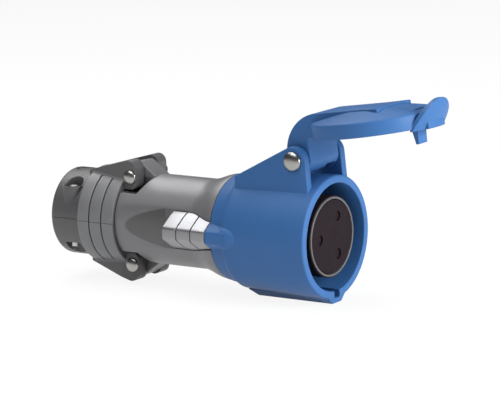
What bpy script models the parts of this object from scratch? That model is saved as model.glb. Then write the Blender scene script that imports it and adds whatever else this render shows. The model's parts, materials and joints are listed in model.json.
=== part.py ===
# Industrial socket, 16 A, two poles and earth, as a free connector with a hinged lid
#
# The frame: the origin is the centre of the contact face, +X runs out of the mouth, and +Z is up,
# on the lid's side. The lid stands wide open. Sizes are in metres.

import math

import bmesh
import bpy
from mathutils import Matrix, Vector

MM = 0.001
FIT = 0.3 * MM  # clearance between pieces that touch or slide
SINK = 1.0 * MM  # how far a joined shape reaches into its neighbour, and a cutter past a face
ROUND_STEPS = 40
SMALL_STEPS = 16

# Front housing: the shroud round the contacts
MOUTH_RADIUS = 22.0 * MM
SHROUD_WALL = 3.0 * MM
RIM_RADIUS = MOUTH_RADIUS + SHROUD_WALL
RIM_X = 2.0 * MM
RIM_CHAMFER = 0.6 * MM
MOUTH_CHAMFER = 0.4 * MM
BARREL_TAPER = 0.5 * MM
BARREL_REAR_RADIUS = RIM_RADIUS - BARREL_TAPER
BARREL_REAR_X = -36.6 * MM
NECK_SHRINK = 1.3 * MM
NECK_RADIUS = BARREL_REAR_RADIUS - NECK_SHRINK
NECK_STEP = 2.0 * MM
JOINT_RADIUS = NECK_RADIUS - 1.0 * MM
JOINT_X = -44.5 * MM
SHROUD_FLOOR_X = -30.0 * MM
FLOOR_THICKNESS = 3.0 * MM
REAR_WALL = 2.0 * MM
REAR_BORE_RADIUS = JOINT_RADIUS - REAR_WALL

# Key rib and keyway under the shroud
KEY_HALF_WIDTH = 3.4 * MM
KEY_BASE_HALF_WIDTH = 6.8 * MM
KEY_CHAMFER = 3.2 * MM
KEYWAY_HALF_WIDTH = 2.7 * MM
KEYWAY_DEPTH = 2.9 * MM
KEY_WALL = 2.3 * MM
KEY_DROP = MOUTH_RADIUS + KEYWAY_DEPTH + KEY_WALL
KEY_ROOT = 0.3 * MM
KEYWAY_LENGTH = 30.0 * MM

# Hinge between the two ears
HINGE_X = -8.5 * MM
HINGE_RISE = 7.35 * MM
HINGE_Z = RIM_RADIUS + HINGE_RISE
EAR_OUTER_Y = 15.2 * MM
EAR_THICKNESS = 3.5 * MM
EAR_TIP_RADIUS = 5.9 * MM
EAR_REAR_Z = BARREL_REAR_RADIUS - 0.3 * MM
EAR_FRONT_X = -1.0 * MM
EAR_ROOT_Z = BARREL_REAR_RADIUS - 7.5 * MM
EAR_FRONT_LEAN = math.radians(6)
HINGE_PIN_RADIUS = 1.75 * MM
HINGE_HEAD_RADIUS = 4.0 * MM
HINGE_HEAD_HEIGHT = 1.7 * MM

# Lid, in its own directions: along runs from the hinge over the lid, rise is square to it
LID_TILT = math.radians(8.3)
LID_RIM_GAP = 0.3 * MM
LID_SEAL_INSET = 0.2 * MM
LID_SEAL_GROOVE_INSET = 0.6 * MM
RIB_NOTCH_CLEARANCE = 0.4 * MM
LID_SKIRT_WALL = 0.8 * MM
LID_RADIUS = RIM_RADIUS + LID_RIM_GAP + LID_SKIRT_WALL
LID_BAND_LOW = 8.36 * MM
LID_BAND_HIGH = 13.9 * MM
LID_BAND_ROUND = 0.8 * MM
LID_CROWN_RADIUS = 12.0 * MM
LID_CROWN_RISE = 17.3 * MM
LID_HOLLOW_RISE = 14.6 * MM
LID_HOLLOW_RADIUS = LID_RADIUS - 7.6 * MM
LID_RELIEF_END = 9.2 * MM
LID_RELIEF_END_HALF = 13.5 * MM
LID_RELIEF_RISE = 18.0 * MM
LID_ARM_HALF_WIDTH = 10.6 * MM
LID_ARM_RADIUS = 14.4 * MM
LID_ARM_REACH = 14.0 * MM
KNUCKLE_RADIUS = 5.8 * MM
DIP_START = 8.2 * MM
DIP_HALF_WIDTH = 12.5 * MM
DIP_DROP = 3.6 * MM
TAB_LOW_RADIUS = LID_RADIUS + 1.2 * MM
TAB_HIGH_RADIUS = LID_RADIUS + 4.4 * MM
TAB_TIP_RISE = 19.4 * MM
TAB_WALL = 2.0 * MM
TAB_HALF_WIDTH = 12.5 * MM
HOOK_RADIUS = LID_RADIUS - 5.7 * MM
HOOK_LENGTH = 3.2 * MM
HOOK_HALF_WIDTH = 3.3 * MM
HOOK_TIP_CHAMFER = 0.4 * MM
HOOK_TIP_RISE = 1.6 * MM
HOOK_TAPER = 1.4 * MM
LID_SEAL_THICKNESS = 1.2 * MM

# Lid spring, wound round the hinge pin
SPRING_COIL_RADIUS = 3.1 * MM
SPRING_WIRE_RADIUS = 0.45 * MM
SPRING_TURNS = 4
SPRING_MIDDLE_Y = 6.3 * MM
SPRING_LENGTH = 5.4 * MM
SPRING_POCKET_RADIUS = 4.3 * MM
SPRING_LEG = 6.2 * MM

# Contact carrier and what it holds
PLUG_SPACE = 5.3 * MM
FACE_RADIUS = MOUTH_RADIUS - PLUG_SPACE
RING_WIDTH = 1.4 * MM
RING_DEPTH = 2.6 * MM
RING_PROUD = 0.3 * MM
SHUTTER_THICKNESS = 1.4 * MM
SHUTTER_POST_RADIUS = 2.2 * MM
SHUTTER_TURN = math.radians(30)
FLANGE_RADIUS = REAR_BORE_RADIUS - 0.4 * MM
FLANGE_THICKNESS = 2.8 * MM
BLOCK_CLEARANCE = 0.5 * MM
BLOCK_REAR_X = -42.5 * MM
CONTACT_CIRCLE_RADIUS = FACE_RADIUS - 7.7 * MM
POLE_RADIUS = 2.5 * MM
EARTH_RADIUS = 3.5 * MM
CONTACT_WALL = 0.9 * MM
CONTACT_DEPTH = 24.0 * MM
CONTACT_SLOT_WIDTH = 0.8 * MM
WIRE_HOLE_RADIUS = 1.5 * MM
WIRE_HOLE_OVERRUN = 3.0 * MM
THREAD_CLEARANCE = 0.1 * MM
CONTACT_FRONT_X = -5.0 * MM
CONTACT_REAR_X = -42.0 * MM
CONTACT_ANGLES = {"contact_earth": -90, "contact_line": 30, "contact_neutral": 150}
TERMINAL_SCREW_RADIUS = 1.6 * MM
TERMINAL_HEAD_RADIUS = 2.4 * MM
TERMINAL_HEAD_HEIGHT = 1.4 * MM
SMALL_SLOT = (6.0 * MM, 0.7 * MM, 1.2 * MM)
TERMINAL_X = -39.0 * MM
CARRIER_SCREW_RADIUS = 1.3 * MM
CARRIER_SCREW_HEAD_RADIUS = 2.2 * MM
CARRIER_SCREW_HEAD_HEIGHT = 1.5 * MM
CARRIER_SCREW_LENGTH = 7.0 * MM

# Handle
HANDLE_RADIUS = 18.8 * MM
HANDLE_FLARE_END_X = -58.0 * MM
HANDLE_REAR_X = -94.4 * MM
TAIL_RADIUS = 16.6 * MM
TAIL_REAR_X = -111.4 * MM
SPIGOT_LENGTH = 6.0 * MM
SPIGOT_WALL = 3.5 * MM
SPIGOT_BORE_RADIUS = REAR_BORE_RADIUS - FIT - SPIGOT_WALL
BLOCK_RADIUS = SPIGOT_BORE_RADIUS - BLOCK_CLEARANCE
SPIGOT_BORE_END_X = -43.0 * MM
NECK_BORE_RADIUS = SPIGOT_BORE_RADIUS - 1.6 * MM
SEAL_FRONT_X = -41.4 * MM
SEAL_WIDTH = 1.6 * MM
SEAL_GROOVE_RADIUS = REAR_BORE_RADIUS - 1.6 * MM
CABLE_BORE_RADIUS = 12.6 * MM
BORE_STEP_X = -45.0 * MM
BORE_TAPER_END_X = -50.0 * MM
FIN_HALF_WIDTH = 4.8 * MM
FIN_TOP_Z = 24.2 * MM
FIN_FRONT_X = -89.8 * MM
FIN_FOOT_X = -81.9 * MM
FIN_REAR_Z = 22.2 * MM
FIN_REAR_X = -100.7 * MM
FIN_ROOT = 2.0 * MM
FIN_FOOT_SINK = 0.8 * MM
EAR_RECESS_Z = 12.4 * MM
EAR_RECESS_FRONT_X = -86.4 * MM
EAR_RECESS_END_X = -83.0 * MM

# Release sliders, one on each side, and the bosses of the same section in front of them
SLIDER_REAR_X = -65.5 * MM
SLIDER_FRONT_X = JOINT_X - FIT
SLIDER_BASE_Y = 17.0 * MM
SLIDER_RIDGE_Y = 26.0 * MM
SLIDER_HALF_HEIGHT = 7.8 * MM
SLIDER_RIDGE_HALF = 2.4 * MM
SLIDER_RIDGE_ROUND = 1.6 * MM
SLIDER_SHOULDER_Y = 20.0 * MM
SLIDER_SHOULDER_HALF = 6.3 * MM
SLIDER_STROKE = 4.0 * MM
SLIDER_GROOVES_X = (-58.6 * MM, -51.7 * MM)
SLIDER_GROOVE_WIDTH = 0.6 * MM
SLIDER_GROOVE_DEPTH = 0.5 * MM
BOSS_NOSE_X = -29.3 * MM
BOSS_NOSE_HALF_HEIGHT = 5.2 * MM
BOSS_NOSE_DEPTH = 3.6 * MM
LUG_LENGTH = 3.0 * MM
LUG_HALF_WIDTH = 1.5 * MM
LUG_DEPTH = 2.4 * MM
LUG_FRONT_X = -48.6 * MM
LUG_GROOVE_LENGTH = 13.0 * MM
SLIDER_SPRING_RADIUS = 0.95 * MM
SLIDER_SPRING_WIRE = 0.22 * MM
SLIDER_SPRING_TURNS = 5
THUMB_TIP_X = -91.0 * MM
THUMB_FLAT_LENGTH = 1.0 * MM

# Cable clamp at the rear, in two halves
CLAMP_FRONT_X = -94.7 * MM
CLAMP_REAR_X = -128.4 * MM
CLAMP_SPLIT_GAP = 0.3 * MM
BAND_RADIUS = 20.4 * MM
BAND_COUNT = 3
BAND_LENGTH = 5.6 * MM
BAND_GROOVE_WIDTH = 0.6 * MM
BAND_GROOVE_DEPTH = 1.0 * MM
COLLAR_RADIUS = 18.4 * MM
COLLAR_END_RADIUS = 16.6 * MM
COLLAR_ROUND = 2.0 * MM
CABLE_HOLE_RADIUS = 9.0 * MM
REAR_LIP = 2.6 * MM
GROMMET_RADIUS = 10.2 * MM
GROMMET_WALL = 2.9 * MM
GROMMET_RIB = 0.6 * MM
CLAMP_EAR_OUTER_Y = 11.3 * MM
CLAMP_EAR_TOP_Z = 26.0 * MM
CLAMP_EAR_REAR_Z = 18.9 * MM
CLAMP_EAR_FRONT_X = -88.5 * MM
CLAMP_EAR_REAR_X = -114.6 * MM
CLAMP_EAR_LOW_Z = 13.3 * MM
CLAMP_EAR_REAR_Y = 7.8 * MM
CLAMP_EAR_BEND_X = -97.0 * MM
CLAMP_EAR_TOP_ROUND = 3.4 * MM
CLAMP_EAR_LOW_ROUND = 2.4 * MM
CLAMP_PIN_X = -91.3 * MM
CLAMP_PIN_Z = 18.5 * MM
CLAMP_PIN_RADIUS = 1.9 * MM
CLAMP_PIN_HEAD_RADIUS = 3.0 * MM
CLAMP_PIN_HEAD_HEIGHT = 1.3 * MM
SCREW_X = -119.5 * MM
SCREW_Y = 12.7 * MM
SCREW_SEAT_Z = 12.0 * MM
SCREW_BOSS_RADIUS = 4.8 * MM
SCREW_BOSS_TOP_Z = 13.3 * MM
NUT_SEAT_Z = 11.0 * MM
SCREW_POCKET_RADIUS = 4.1 * MM
SCREW_SHANK_RADIUS = 1.5 * MM
SCREW_HEAD_RADIUS = 3.6 * MM
SCREW_HEAD_HEIGHT = 2.2 * MM
SCREW_SLOT_WIDTH = 1.0 * MM
SCREW_SLOT_DEPTH = 1.1 * MM
NUT_RADIUS = 3.6 * MM
NUT_HEIGHT = 2.2 * MM
TOP_DISH_RADIUS = 3.9 * MM
TOP_DISH_DEPTH = 0.8 * MM
TOP_DISH_X = -122.5 * MM

# Colours and finishes: colour, roughness, metallic
BLUE = ((0.05, 0.19, 0.50, 1), 0.38, 0.0)
GREY = ((0.26, 0.26, 0.27, 1), 0.42, 0.0)
DARK = ((0.045, 0.035, 0.038, 1), 0.6, 0.0)
PALE = ((0.42, 0.41, 0.41, 1), 0.5, 0.0)
STEEL = ((0.62, 0.61, 0.59, 1), 0.3, 1.0)
SILVER = ((0.68, 0.69, 0.71, 1), 0.28, 1.0)
BRASS = ((0.72, 0.52, 0.22, 1), 0.35, 1.0)
RUBBER = ((0.03, 0.03, 0.03, 1), 0.8, 0.0)


def start_scene():
    for old in list(bpy.data.objects):
        bpy.data.objects.remove(old, do_unlink=True)
    parts = bpy.data.collections.new("industrial_socket")
    cutters = bpy.data.collections.new("cutters")
    for group in (parts, cutters):
        bpy.context.scene.collection.children.link(group)
    return parts, cutters


PARTS, CUTTERS = start_scene()


# Building blocks


def link(name, mesh, group=None):
    obj = bpy.data.objects.new(name, mesh)
    (group or CUTTERS).objects.link(obj)
    return obj


def smooth(mesh, degrees=32):
    mesh.shade_smooth()
    mesh.set_sharp_from_angle(angle=math.radians(degrees))


def turned(name, profile, steps=ROUND_STEPS, closed=False):
    """A solid of revolution about X from (x, radius) points that run down the outer side, front to rear."""
    mesh = bpy.data.meshes.new(name)
    points = [(radius, 0, x) for x, radius in profile]
    edges = [(i, i + 1) for i in range(len(points) - 1)]
    if closed:
        edges.append((len(points) - 1, 0))
    mesh.from_pydata(points, edges, [])
    obj = link(name, mesh)
    screw = obj.modifiers.new("Turn", "SCREW")
    screw.axis = "Z"
    screw.steps = screw.render_steps = steps
    screw.use_merge_vertices = True
    screw.merge_threshold = 0.00001
    screw.use_smooth_shade = True
    obj.rotation_euler = (0, math.pi / 2, 0)
    return obj


def rod(name, start, end, radius, end_radius=None, sides=SMALL_STEPS):
    """A cylinder or cone from one point to another."""
    start, end = Vector(start), Vector(end)
    mesh = bpy.data.meshes.new(name)
    work = bmesh.new()
    bmesh.ops.create_cone(
        work, cap_ends=True, segments=sides, radius1=radius,
        radius2=radius if end_radius is None else end_radius, depth=(end - start).length,
    )
    work.to_mesh(mesh)
    work.free()
    smooth(mesh)
    obj = link(name, mesh)
    obj.matrix_world = (
        Matrix.Translation((start + end) / 2)
        @ (end - start).to_track_quat("Z", "Y").to_matrix().to_4x4()
    )
    return obj


def box(name, low, high):
    low, high = Vector(low), Vector(high)
    mesh = bpy.data.meshes.new(name)
    work = bmesh.new()
    bmesh.ops.create_cube(work, size=1)
    bmesh.ops.scale(work, vec=high - low, verts=work.verts)
    work.to_mesh(mesh)
    work.free()
    obj = link(name, mesh)
    obj.location = (low + high) / 2
    return obj


def rounded(corners, arc_steps=6):
    """Points of a closed outline, each corner (a, b, radius) rounded by an arc."""
    points = []
    count = len(corners)
    for i, (a, b, radius) in enumerate(corners):
        here = Vector((a, b))
        before = (Vector(corners[i - 1][:2]) - here).normalized()
        after = (Vector(corners[(i + 1) % count][:2]) - here).normalized()
        if not radius:
            points.append(here)
            continue
        half = before.angle(after) / 2
        centre = here + (before + after).normalized() * radius / math.sin(half)
        first = here + before * radius / math.tan(half) - centre
        turn = first.angle_signed(here + after * radius / math.tan(half) - centre)
        for step in range(arc_steps + 1):
            points.append(centre + Matrix.Rotation(-turn * step / arc_steps, 2) @ first)
    return points


def plate(name, outline, low, high, plane="XZ"):
    """A flat outline given its thickness between two levels of the axis that its plane leaves out."""
    curve = bpy.data.curves.new(name, "CURVE")
    curve.dimensions = "2D"
    curve.fill_mode = "BOTH"
    curve.extrude = abs(high - low) / 2
    line = curve.splines.new("POLY")
    line.points.add(len(outline) - 1)
    for point, (a, b) in zip(line.points, outline):
        point.co = (a, b, 0, 1)
    line.use_cyclic_u = True
    obj = link(name, curve)
    middle = (low + high) / 2
    turns = {
        "XZ": Matrix(((1, 0, 0, 0), (0, 0, -1, middle), (0, 1, 0, 0), (0, 0, 0, 1))),
        "XY": Matrix.Translation((0, 0, middle)),
        "YZ": Matrix(((0, 0, 1, middle), (1, 0, 0, 0), (0, 1, 0, 0), (0, 0, 0, 1))),
    }
    obj.matrix_world = turns[plane]
    return as_mesh(obj)


def as_mesh(obj):
    """The curve's own mesh, with its caps welded on."""
    bpy.context.view_layer.update()
    graph = bpy.context.evaluated_depsgraph_get()
    mesh = bpy.data.meshes.new_from_object(obj.evaluated_get(graph))
    work = bmesh.new()
    work.from_mesh(mesh)
    bmesh.ops.remove_doubles(work, verts=work.verts, dist=0.000002)
    bmesh.ops.recalc_face_normals(work, faces=work.faces)
    work.to_mesh(mesh)
    work.free()
    smooth(mesh)
    name, place = obj.name, obj.matrix_world.copy()
    bpy.data.objects.remove(obj, do_unlink=True)
    mesh_object = link(name, mesh)
    mesh_object.matrix_world = place
    return mesh_object


def wire(name, points, radius, fineness=2):
    curve = bpy.data.curves.new(name, "CURVE")
    curve.dimensions = "3D"
    curve.bevel_depth = radius
    curve.bevel_resolution = fineness
    curve.use_fill_caps = True
    line = curve.splines.new("POLY")
    line.points.add(len(points) - 1)
    for point, place in zip(line.points, points):
        point.co = (*place, 1)
    return link(name, curve)


def combine(target, other, operation):
    step = target.modifiers.new(operation.title(), "BOOLEAN")
    step.operation = operation
    step.object = other
    step.solver = "EXACT"
    other.hide_render = True
    other.display_type = "WIRE"


def join(target, *others):
    for other in others:
        combine(target, other, "UNION")


def cut(target, *others):
    for other in others:
        combine(target, other, "DIFFERENCE")


def keep(target, *others):
    for other in others:
        combine(target, other, "INTERSECT")


def finish(obj, finish_values, origin=None):
    """Makes the object a part: its material, its collection and, if it moves, its origin on its axis."""
    colour, roughness, metallic = finish_values
    material = bpy.data.materials.new(obj.name)
    material.use_nodes = True
    shader = material.node_tree.nodes["Principled BSDF"]
    shader.inputs["Base Color"].default_value = colour
    shader.inputs["Roughness"].default_value = roughness
    shader.inputs["Metallic"].default_value = metallic
    obj.data.materials.append(material)
    CUTTERS.objects.unlink(obj)
    PARTS.objects.link(obj)
    if origin is not None:
        pivot = bpy.data.objects.new(obj.name + "_axis", None)
        PARTS.objects.link(pivot)
        pivot.location = origin
        bpy.context.view_layer.update()
        obj.parent = pivot
        obj.matrix_parent_inverse = pivot.matrix_world.inverted()
    return obj


def both_sides(make):
    return [make(side, name) for side, name in ((-1, "left"), (1, "right"))]


def mirrored(low, high, side):
    """A span of Y on the given side, lower value first."""
    return sorted((side * low, side * high))


# Front housing


def slider_section(grow=0.0):
    """The roof-shaped section of slider and boss, as (distance from the axis, height) corners."""
    base = SLIDER_BASE_Y - abs(grow)
    return [
        (base, -SLIDER_HALF_HEIGHT - grow, 0),
        (SLIDER_SHOULDER_Y + grow, -SLIDER_SHOULDER_HALF - grow, 0),
        (SLIDER_RIDGE_Y + grow, -SLIDER_RIDGE_HALF - grow, SLIDER_RIDGE_ROUND),
        (SLIDER_RIDGE_Y + grow, SLIDER_RIDGE_HALF + grow, SLIDER_RIDGE_ROUND),
        (SLIDER_SHOULDER_Y + grow, SLIDER_SHOULDER_HALF + grow, 0),
        (base, SLIDER_HALF_HEIGHT + grow, 0),
    ]


def slider_prism(name, side, rear, front, grow=0.0):
    outline = [(side * a, b) for a, b in rounded(slider_section(grow), 3)]
    return plate(name, outline, rear, front, "YZ")


def boss(side, name):
    """The blue boss in front of a slider, with its bullet nose."""
    body = slider_prism("boss_" + name, side, JOINT_X, BARREL_REAR_X + SINK)
    nose_length = BOSS_NOSE_X - BARREL_REAR_X
    height, depth = BOSS_NOSE_HALF_HEIGHT, BOSS_NOSE_DEPTH
    steps = 5
    profile = [
        (BARREL_REAR_X + nose_length * math.sin(math.pi / 2 * i / steps),
         height * math.cos(math.pi / 2 * i / steps))
        for i in range(steps, -1, -1)
    ] + [(BARREL_REAR_X - SINK, height), (BARREL_REAR_X - SINK, 0)]
    nose = turned("nose_" + name, profile, SMALL_STEPS)
    nose.location = (0, side * (SLIDER_RIDGE_Y - depth), 0)
    nose.scale = (1, depth / height, 1)
    join(body, nose)
    return body


def hinge_ear(side, name):
    low, high = mirrored(EAR_OUTER_Y - EAR_THICKNESS, EAR_OUTER_Y, side)
    tip = (HINGE_X, HINGE_Z)
    rear = (BARREL_REAR_X, EAR_REAR_Z)
    # the sloping top edge is tangent to the round tip
    reach = math.hypot(tip[0] - rear[0], tip[1] - rear[1])
    slope = math.atan2(tip[1] - rear[1], tip[0] - rear[0]) + math.asin(EAR_TIP_RADIUS / reach)
    arc = [
        (tip[0] - EAR_TIP_RADIUS * math.sin(a), tip[1] + EAR_TIP_RADIUS * math.cos(a))
        for a in (slope + (EAR_FRONT_LEAN - math.pi / 2 - slope) * i / 10 for i in range(11))
    ]
    outline = [(rear[0], EAR_ROOT_Z), rear] + arc + [(EAR_FRONT_X, EAR_ROOT_Z)]
    return plate("hinge_ear_" + name, outline, low, high)


def key_rib():
    base_z = -math.sqrt(BARREL_REAR_RADIUS**2 - KEY_BASE_HALF_WIDTH**2) + KEY_ROOT
    outline = [
        (-KEY_BASE_HALF_WIDTH, base_z), (KEY_BASE_HALF_WIDTH, base_z),
        (KEY_HALF_WIDTH, -KEY_DROP), (-KEY_HALF_WIDTH, -KEY_DROP),
    ]
    rib = plate("key_rib", outline, BARREL_REAR_X, RIM_X, "YZ")
    wedge = [
        (BARREL_REAR_X - SINK, -KEY_DROP - SINK),
        (BARREL_REAR_X + KEY_CHAMFER + SINK, -KEY_DROP - SINK),
        (BARREL_REAR_X - SINK, -KEY_DROP + KEY_CHAMFER + SINK),
    ]
    cut(rib, plate("key_wedge", wedge, -KEY_BASE_HALF_WIDTH - SINK, KEY_BASE_HALF_WIDTH + SINK))
    return rib


def front_housing():
    inner_x = SHROUD_FLOOR_X - FLOOR_THICKNESS
    shell = turned("front_housing", [
        (RIM_X, 0), (RIM_X, RIM_RADIUS - RIM_CHAMFER), (RIM_X - RIM_CHAMFER, RIM_RADIUS),
        (BARREL_REAR_X, BARREL_REAR_RADIUS), (BARREL_REAR_X - NECK_STEP, NECK_RADIUS),
        (JOINT_X, JOINT_RADIUS), (JOINT_X, 0),
    ])
    join(shell, key_rib(), *both_sides(hinge_ear), *both_sides(boss))
    hollow = turned("housing_hollow", [
        (RIM_X + SINK, 0), (RIM_X + SINK, MOUTH_RADIUS + SINK), (RIM_X, MOUTH_RADIUS + MOUTH_CHAMFER),
        (RIM_X - MOUTH_CHAMFER, MOUTH_RADIUS), (SHROUD_FLOOR_X, MOUTH_RADIUS),
        (SHROUD_FLOOR_X, FACE_RADIUS + FIT), (inner_x, FACE_RADIUS + FIT),
        (inner_x, REAR_BORE_RADIUS), (JOINT_X - SINK, REAR_BORE_RADIUS), (JOINT_X - SINK, 0),
    ])
    keyway = box(
        "keyway",
        (RIM_X - KEYWAY_LENGTH, -KEYWAY_HALF_WIDTH, -MOUTH_RADIUS - KEYWAY_DEPTH),
        (RIM_X + SINK, KEYWAY_HALF_WIDTH, -MOUTH_RADIUS + 2 * SINK),
    )
    pin_hole = rod(
        "hinge_pin_hole", (HINGE_X, -EAR_OUTER_Y - SINK, HINGE_Z),
        (HINGE_X, EAR_OUTER_Y + SINK, HINGE_Z), HINGE_PIN_RADIUS + FIT,
    )
    cut(shell, hollow, keyway, pin_hole, *carrier_screw_holes())
    return finish(shell, BLUE)


def carrier_screw_places():
    """The two screws stand on the flange, left and right of the contacts."""
    radius = (FACE_RADIUS + FLANGE_RADIUS) / 2 - 0.1 * MM
    return [(0, side * radius, 0) for side in (-1, 1)]


def carrier_screw_holes():
    front = SHROUD_FLOOR_X + SINK
    rear = SHROUD_FLOOR_X - FLOOR_THICKNESS - SINK
    return [
        rod(f"carrier_screw_hole_{i}", (front, y, z), (rear, y, z), CARRIER_SCREW_RADIUS + FIT, sides=16)
        for i, (_, y, z) in enumerate(carrier_screw_places(), 1)
    ]


# Lid: built flat in its own directions and then swung to where it stands


def lid_place():
    """From (along, Y, rise) about the hinge to where the open lid stands."""
    return (
        Matrix.Translation((HINGE_X, 0, HINGE_Z)) @ Matrix.Rotation(-LID_TILT, 4, "Y")
    )


def lid_turned(name, profile, steps=ROUND_STEPS, closed=False):
    """A shape turned about the lid's own centre line from (rise, radius) points, top down."""
    obj = turned(name, profile, steps, closed)
    obj.matrix_world = lid_place() @ Matrix.Translation((HINGE_Z, 0, 0))
    return obj


def lid_plate(name, outline, half_width):
    obj = plate(name, outline, -half_width, half_width)
    obj.matrix_world = lid_place() @ obj.matrix_world
    return obj


def lid_box(name, low, high):
    obj = box(name, low, high)
    obj.matrix_world = lid_place() @ Matrix.Translation((Vector(low) + Vector(high)) / 2)
    return obj


def lid_arm():
    """The gooseneck from the hinge knuckle over to the top of the lid."""
    centre = (-KNUCKLE_RADIUS + LID_ARM_RADIUS, LID_RELIEF_RISE - LID_ARM_RADIUS)
    bend = [
        (centre[0] - LID_ARM_RADIUS * math.cos(a), centre[1] + LID_ARM_RADIUS * math.sin(a))
        for a in (math.pi / 2 * i / 10 for i in range(11))
    ]
    under = [
        (KNUCKLE_RADIUS * math.cos(a), -KNUCKLE_RADIUS * math.sin(a))
        for a in (math.pi * i / 12 for i in range(13))
    ]
    outline = bend + [(LID_ARM_REACH, LID_RELIEF_RISE), (LID_ARM_REACH, LID_BAND_HIGH)]
    outline += [(KNUCKLE_RADIUS, LID_BAND_HIGH)] + under
    return lid_plate("lid_arm", outline, LID_ARM_HALF_WIDTH)


def lid_tab():
    """The finger tab: a turned lip beyond the band, trimmed to a rounded outline."""
    rise = TAB_TIP_RISE - LID_BAND_LOW
    lean = TAB_HIGH_RADIUS - TAB_LOW_RADIUS
    steps = 8
    outer = [
        (LID_BAND_LOW + rise * t, TAB_LOW_RADIUS + lean * math.sin(math.pi / 2 * t))
        for t in (i / steps for i in range(steps, -1, -1))
    ]
    inner = [
        (LID_BAND_LOW + TAB_WALL / 2 + (rise - TAB_WALL / 2) * t,
         LID_RADIUS - SINK + (TAB_HIGH_RADIUS - TAB_WALL - LID_RADIUS + SINK) * math.sin(math.pi / 2 * t))
        for t in (i / steps for i in range(steps + 1))
    ]
    lip = lid_turned("tab_lip", outer + [(LID_BAND_LOW, LID_RADIUS - SINK)] + inner, 96, closed=True)
    trim = [
        (TAB_HALF_WIDTH * math.sin(a), LID_BAND_LOW - SINK + (rise + SINK) * math.cos(a))
        for a in (math.pi * (i / 12 - 0.5) for i in range(13))
    ]
    outline = plate("tab_trim", trim, HINGE_Z, HINGE_Z + TAB_HIGH_RADIUS + SINK, "YZ")
    outline.matrix_world = lid_place() @ outline.matrix_world
    keep(lip, outline)
    return lip


def lid_hook():
    tip = HINGE_Z + HOOK_RADIUS
    outline = [
        (tip - HOOK_LENGTH, LID_HOLLOW_RISE + SINK), (tip, LID_HOLLOW_RISE + SINK),
        (tip, LID_BAND_LOW), (tip - HOOK_TIP_CHAMFER, HOOK_TIP_RISE),
        (tip - HOOK_LENGTH + HOOK_TAPER, HOOK_TIP_RISE), (tip - HOOK_LENGTH, LID_BAND_LOW),
    ]
    return lid_plate("lid_hook", outline, HOOK_HALF_WIDTH)


def lid_relief():
    """The raised field that carries the arm's top on across the lid and ends in a step."""
    end = HINGE_Z + LID_RELIEF_END
    outline = [
        (LID_ARM_REACH - SINK, -LID_ARM_HALF_WIDTH), (HINGE_Z - SINK, -LID_ARM_HALF_WIDTH),
        (end, -LID_RELIEF_END_HALF), (end, LID_RELIEF_END_HALF),
        (HINGE_Z - SINK, LID_ARM_HALF_WIDTH), (LID_ARM_REACH - SINK, LID_ARM_HALF_WIDTH),
    ]
    relief = plate("lid_relief", outline, LID_HOLLOW_RISE, LID_RELIEF_RISE, "XY")
    relief.matrix_world = lid_place() @ relief.matrix_world
    return relief


def finger_dip():
    """The slope behind the tab that leaves room for a finger, a triangle in plan."""
    start = HINGE_Z + DIP_START
    end = HINGE_Z + LID_RADIUS + SINK
    slope = [
        (start, LID_CROWN_RISE), (end, LID_CROWN_RISE - DIP_DROP),
        (end, LID_RELIEF_RISE + SINK), (start, LID_RELIEF_RISE + SINK),
    ]
    dip = lid_plate("finger_dip", slope, DIP_HALF_WIDTH)
    plan = plate(
        "finger_dip_plan", [(start, 0), (end, DIP_HALF_WIDTH), (end, -DIP_HALF_WIDTH)],
        LID_BAND_LOW, LID_RELIEF_RISE + 2 * SINK, "XY",
    )
    plan.matrix_world = lid_place() @ plan.matrix_world
    keep(dip, plan)
    return dip


def lid():
    rim_rise = RIM_X - HINGE_X
    groove_rise = rim_rise + LID_RIM_GAP / 2 + LID_SEAL_THICKNESS + FIT
    cap = lid_turned("lid", [
        (LID_CROWN_RISE, 0), (LID_CROWN_RISE, LID_CROWN_RADIUS),
        (LID_BAND_HIGH + LID_BAND_ROUND, LID_RADIUS - LID_BAND_ROUND), (LID_BAND_HIGH, LID_RADIUS),
        (LID_BAND_LOW, LID_RADIUS), (LID_BAND_LOW, 0),
    ])
    cut(cap, finger_dip())
    join(cap, lid_arm(), lid_relief(), lid_tab())
    hollow = lid_turned("lid_hollow", [
        (LID_HOLLOW_RISE, 0), (LID_HOLLOW_RISE, LID_HOLLOW_RADIUS),
        (groove_rise, MOUTH_RADIUS - LID_SEAL_GROOVE_INSET), (groove_rise, RIM_RADIUS + LID_RIM_GAP),
        (LID_BAND_LOW - SINK, RIM_RADIUS + LID_RIM_GAP), (LID_BAND_LOW - SINK, 0),
    ])
    rib_notch = lid_box(
        "rib_notch", (HINGE_Z + MOUTH_RADIUS, -KEY_BASE_HALF_WIDTH - FIT, LID_BAND_LOW - SINK),
        (HINGE_Z + KEY_DROP + RIB_NOTCH_CLEARANCE, KEY_BASE_HALF_WIDTH + FIT, rim_rise + FIT),
    )
    cut(cap, hollow, rib_notch)
    join(cap, lid_hook())
    cut(cap, rod(
        "knuckle_bore", (HINGE_X, -EAR_OUTER_Y, HINGE_Z), (HINGE_X, EAR_OUTER_Y, HINGE_Z),
        HINGE_PIN_RADIUS + FIT,
    ), spring_pocket())
    return finish(cap, BLUE, (HINGE_X, 0, HINGE_Z))


def spring_pocket():
    """The space for the spring, open below the knuckle."""
    low = SPRING_MIDDLE_Y - SPRING_LENGTH / 2 - 2 * FIT
    high = SPRING_MIDDLE_Y + SPRING_LENGTH / 2 + 2 * FIT
    pocket = rod(
        "spring_pocket", (HINGE_X, low, HINGE_Z), (HINGE_X, high, HINGE_Z), SPRING_POCKET_RADIUS
    )
    join(pocket, lid_box(
        "spring_pocket_mouth", (-SPRING_POCKET_RADIUS, low, -KNUCKLE_RADIUS - SINK),
        (SPRING_POCKET_RADIUS, high, 0),
    ))
    return pocket


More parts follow.
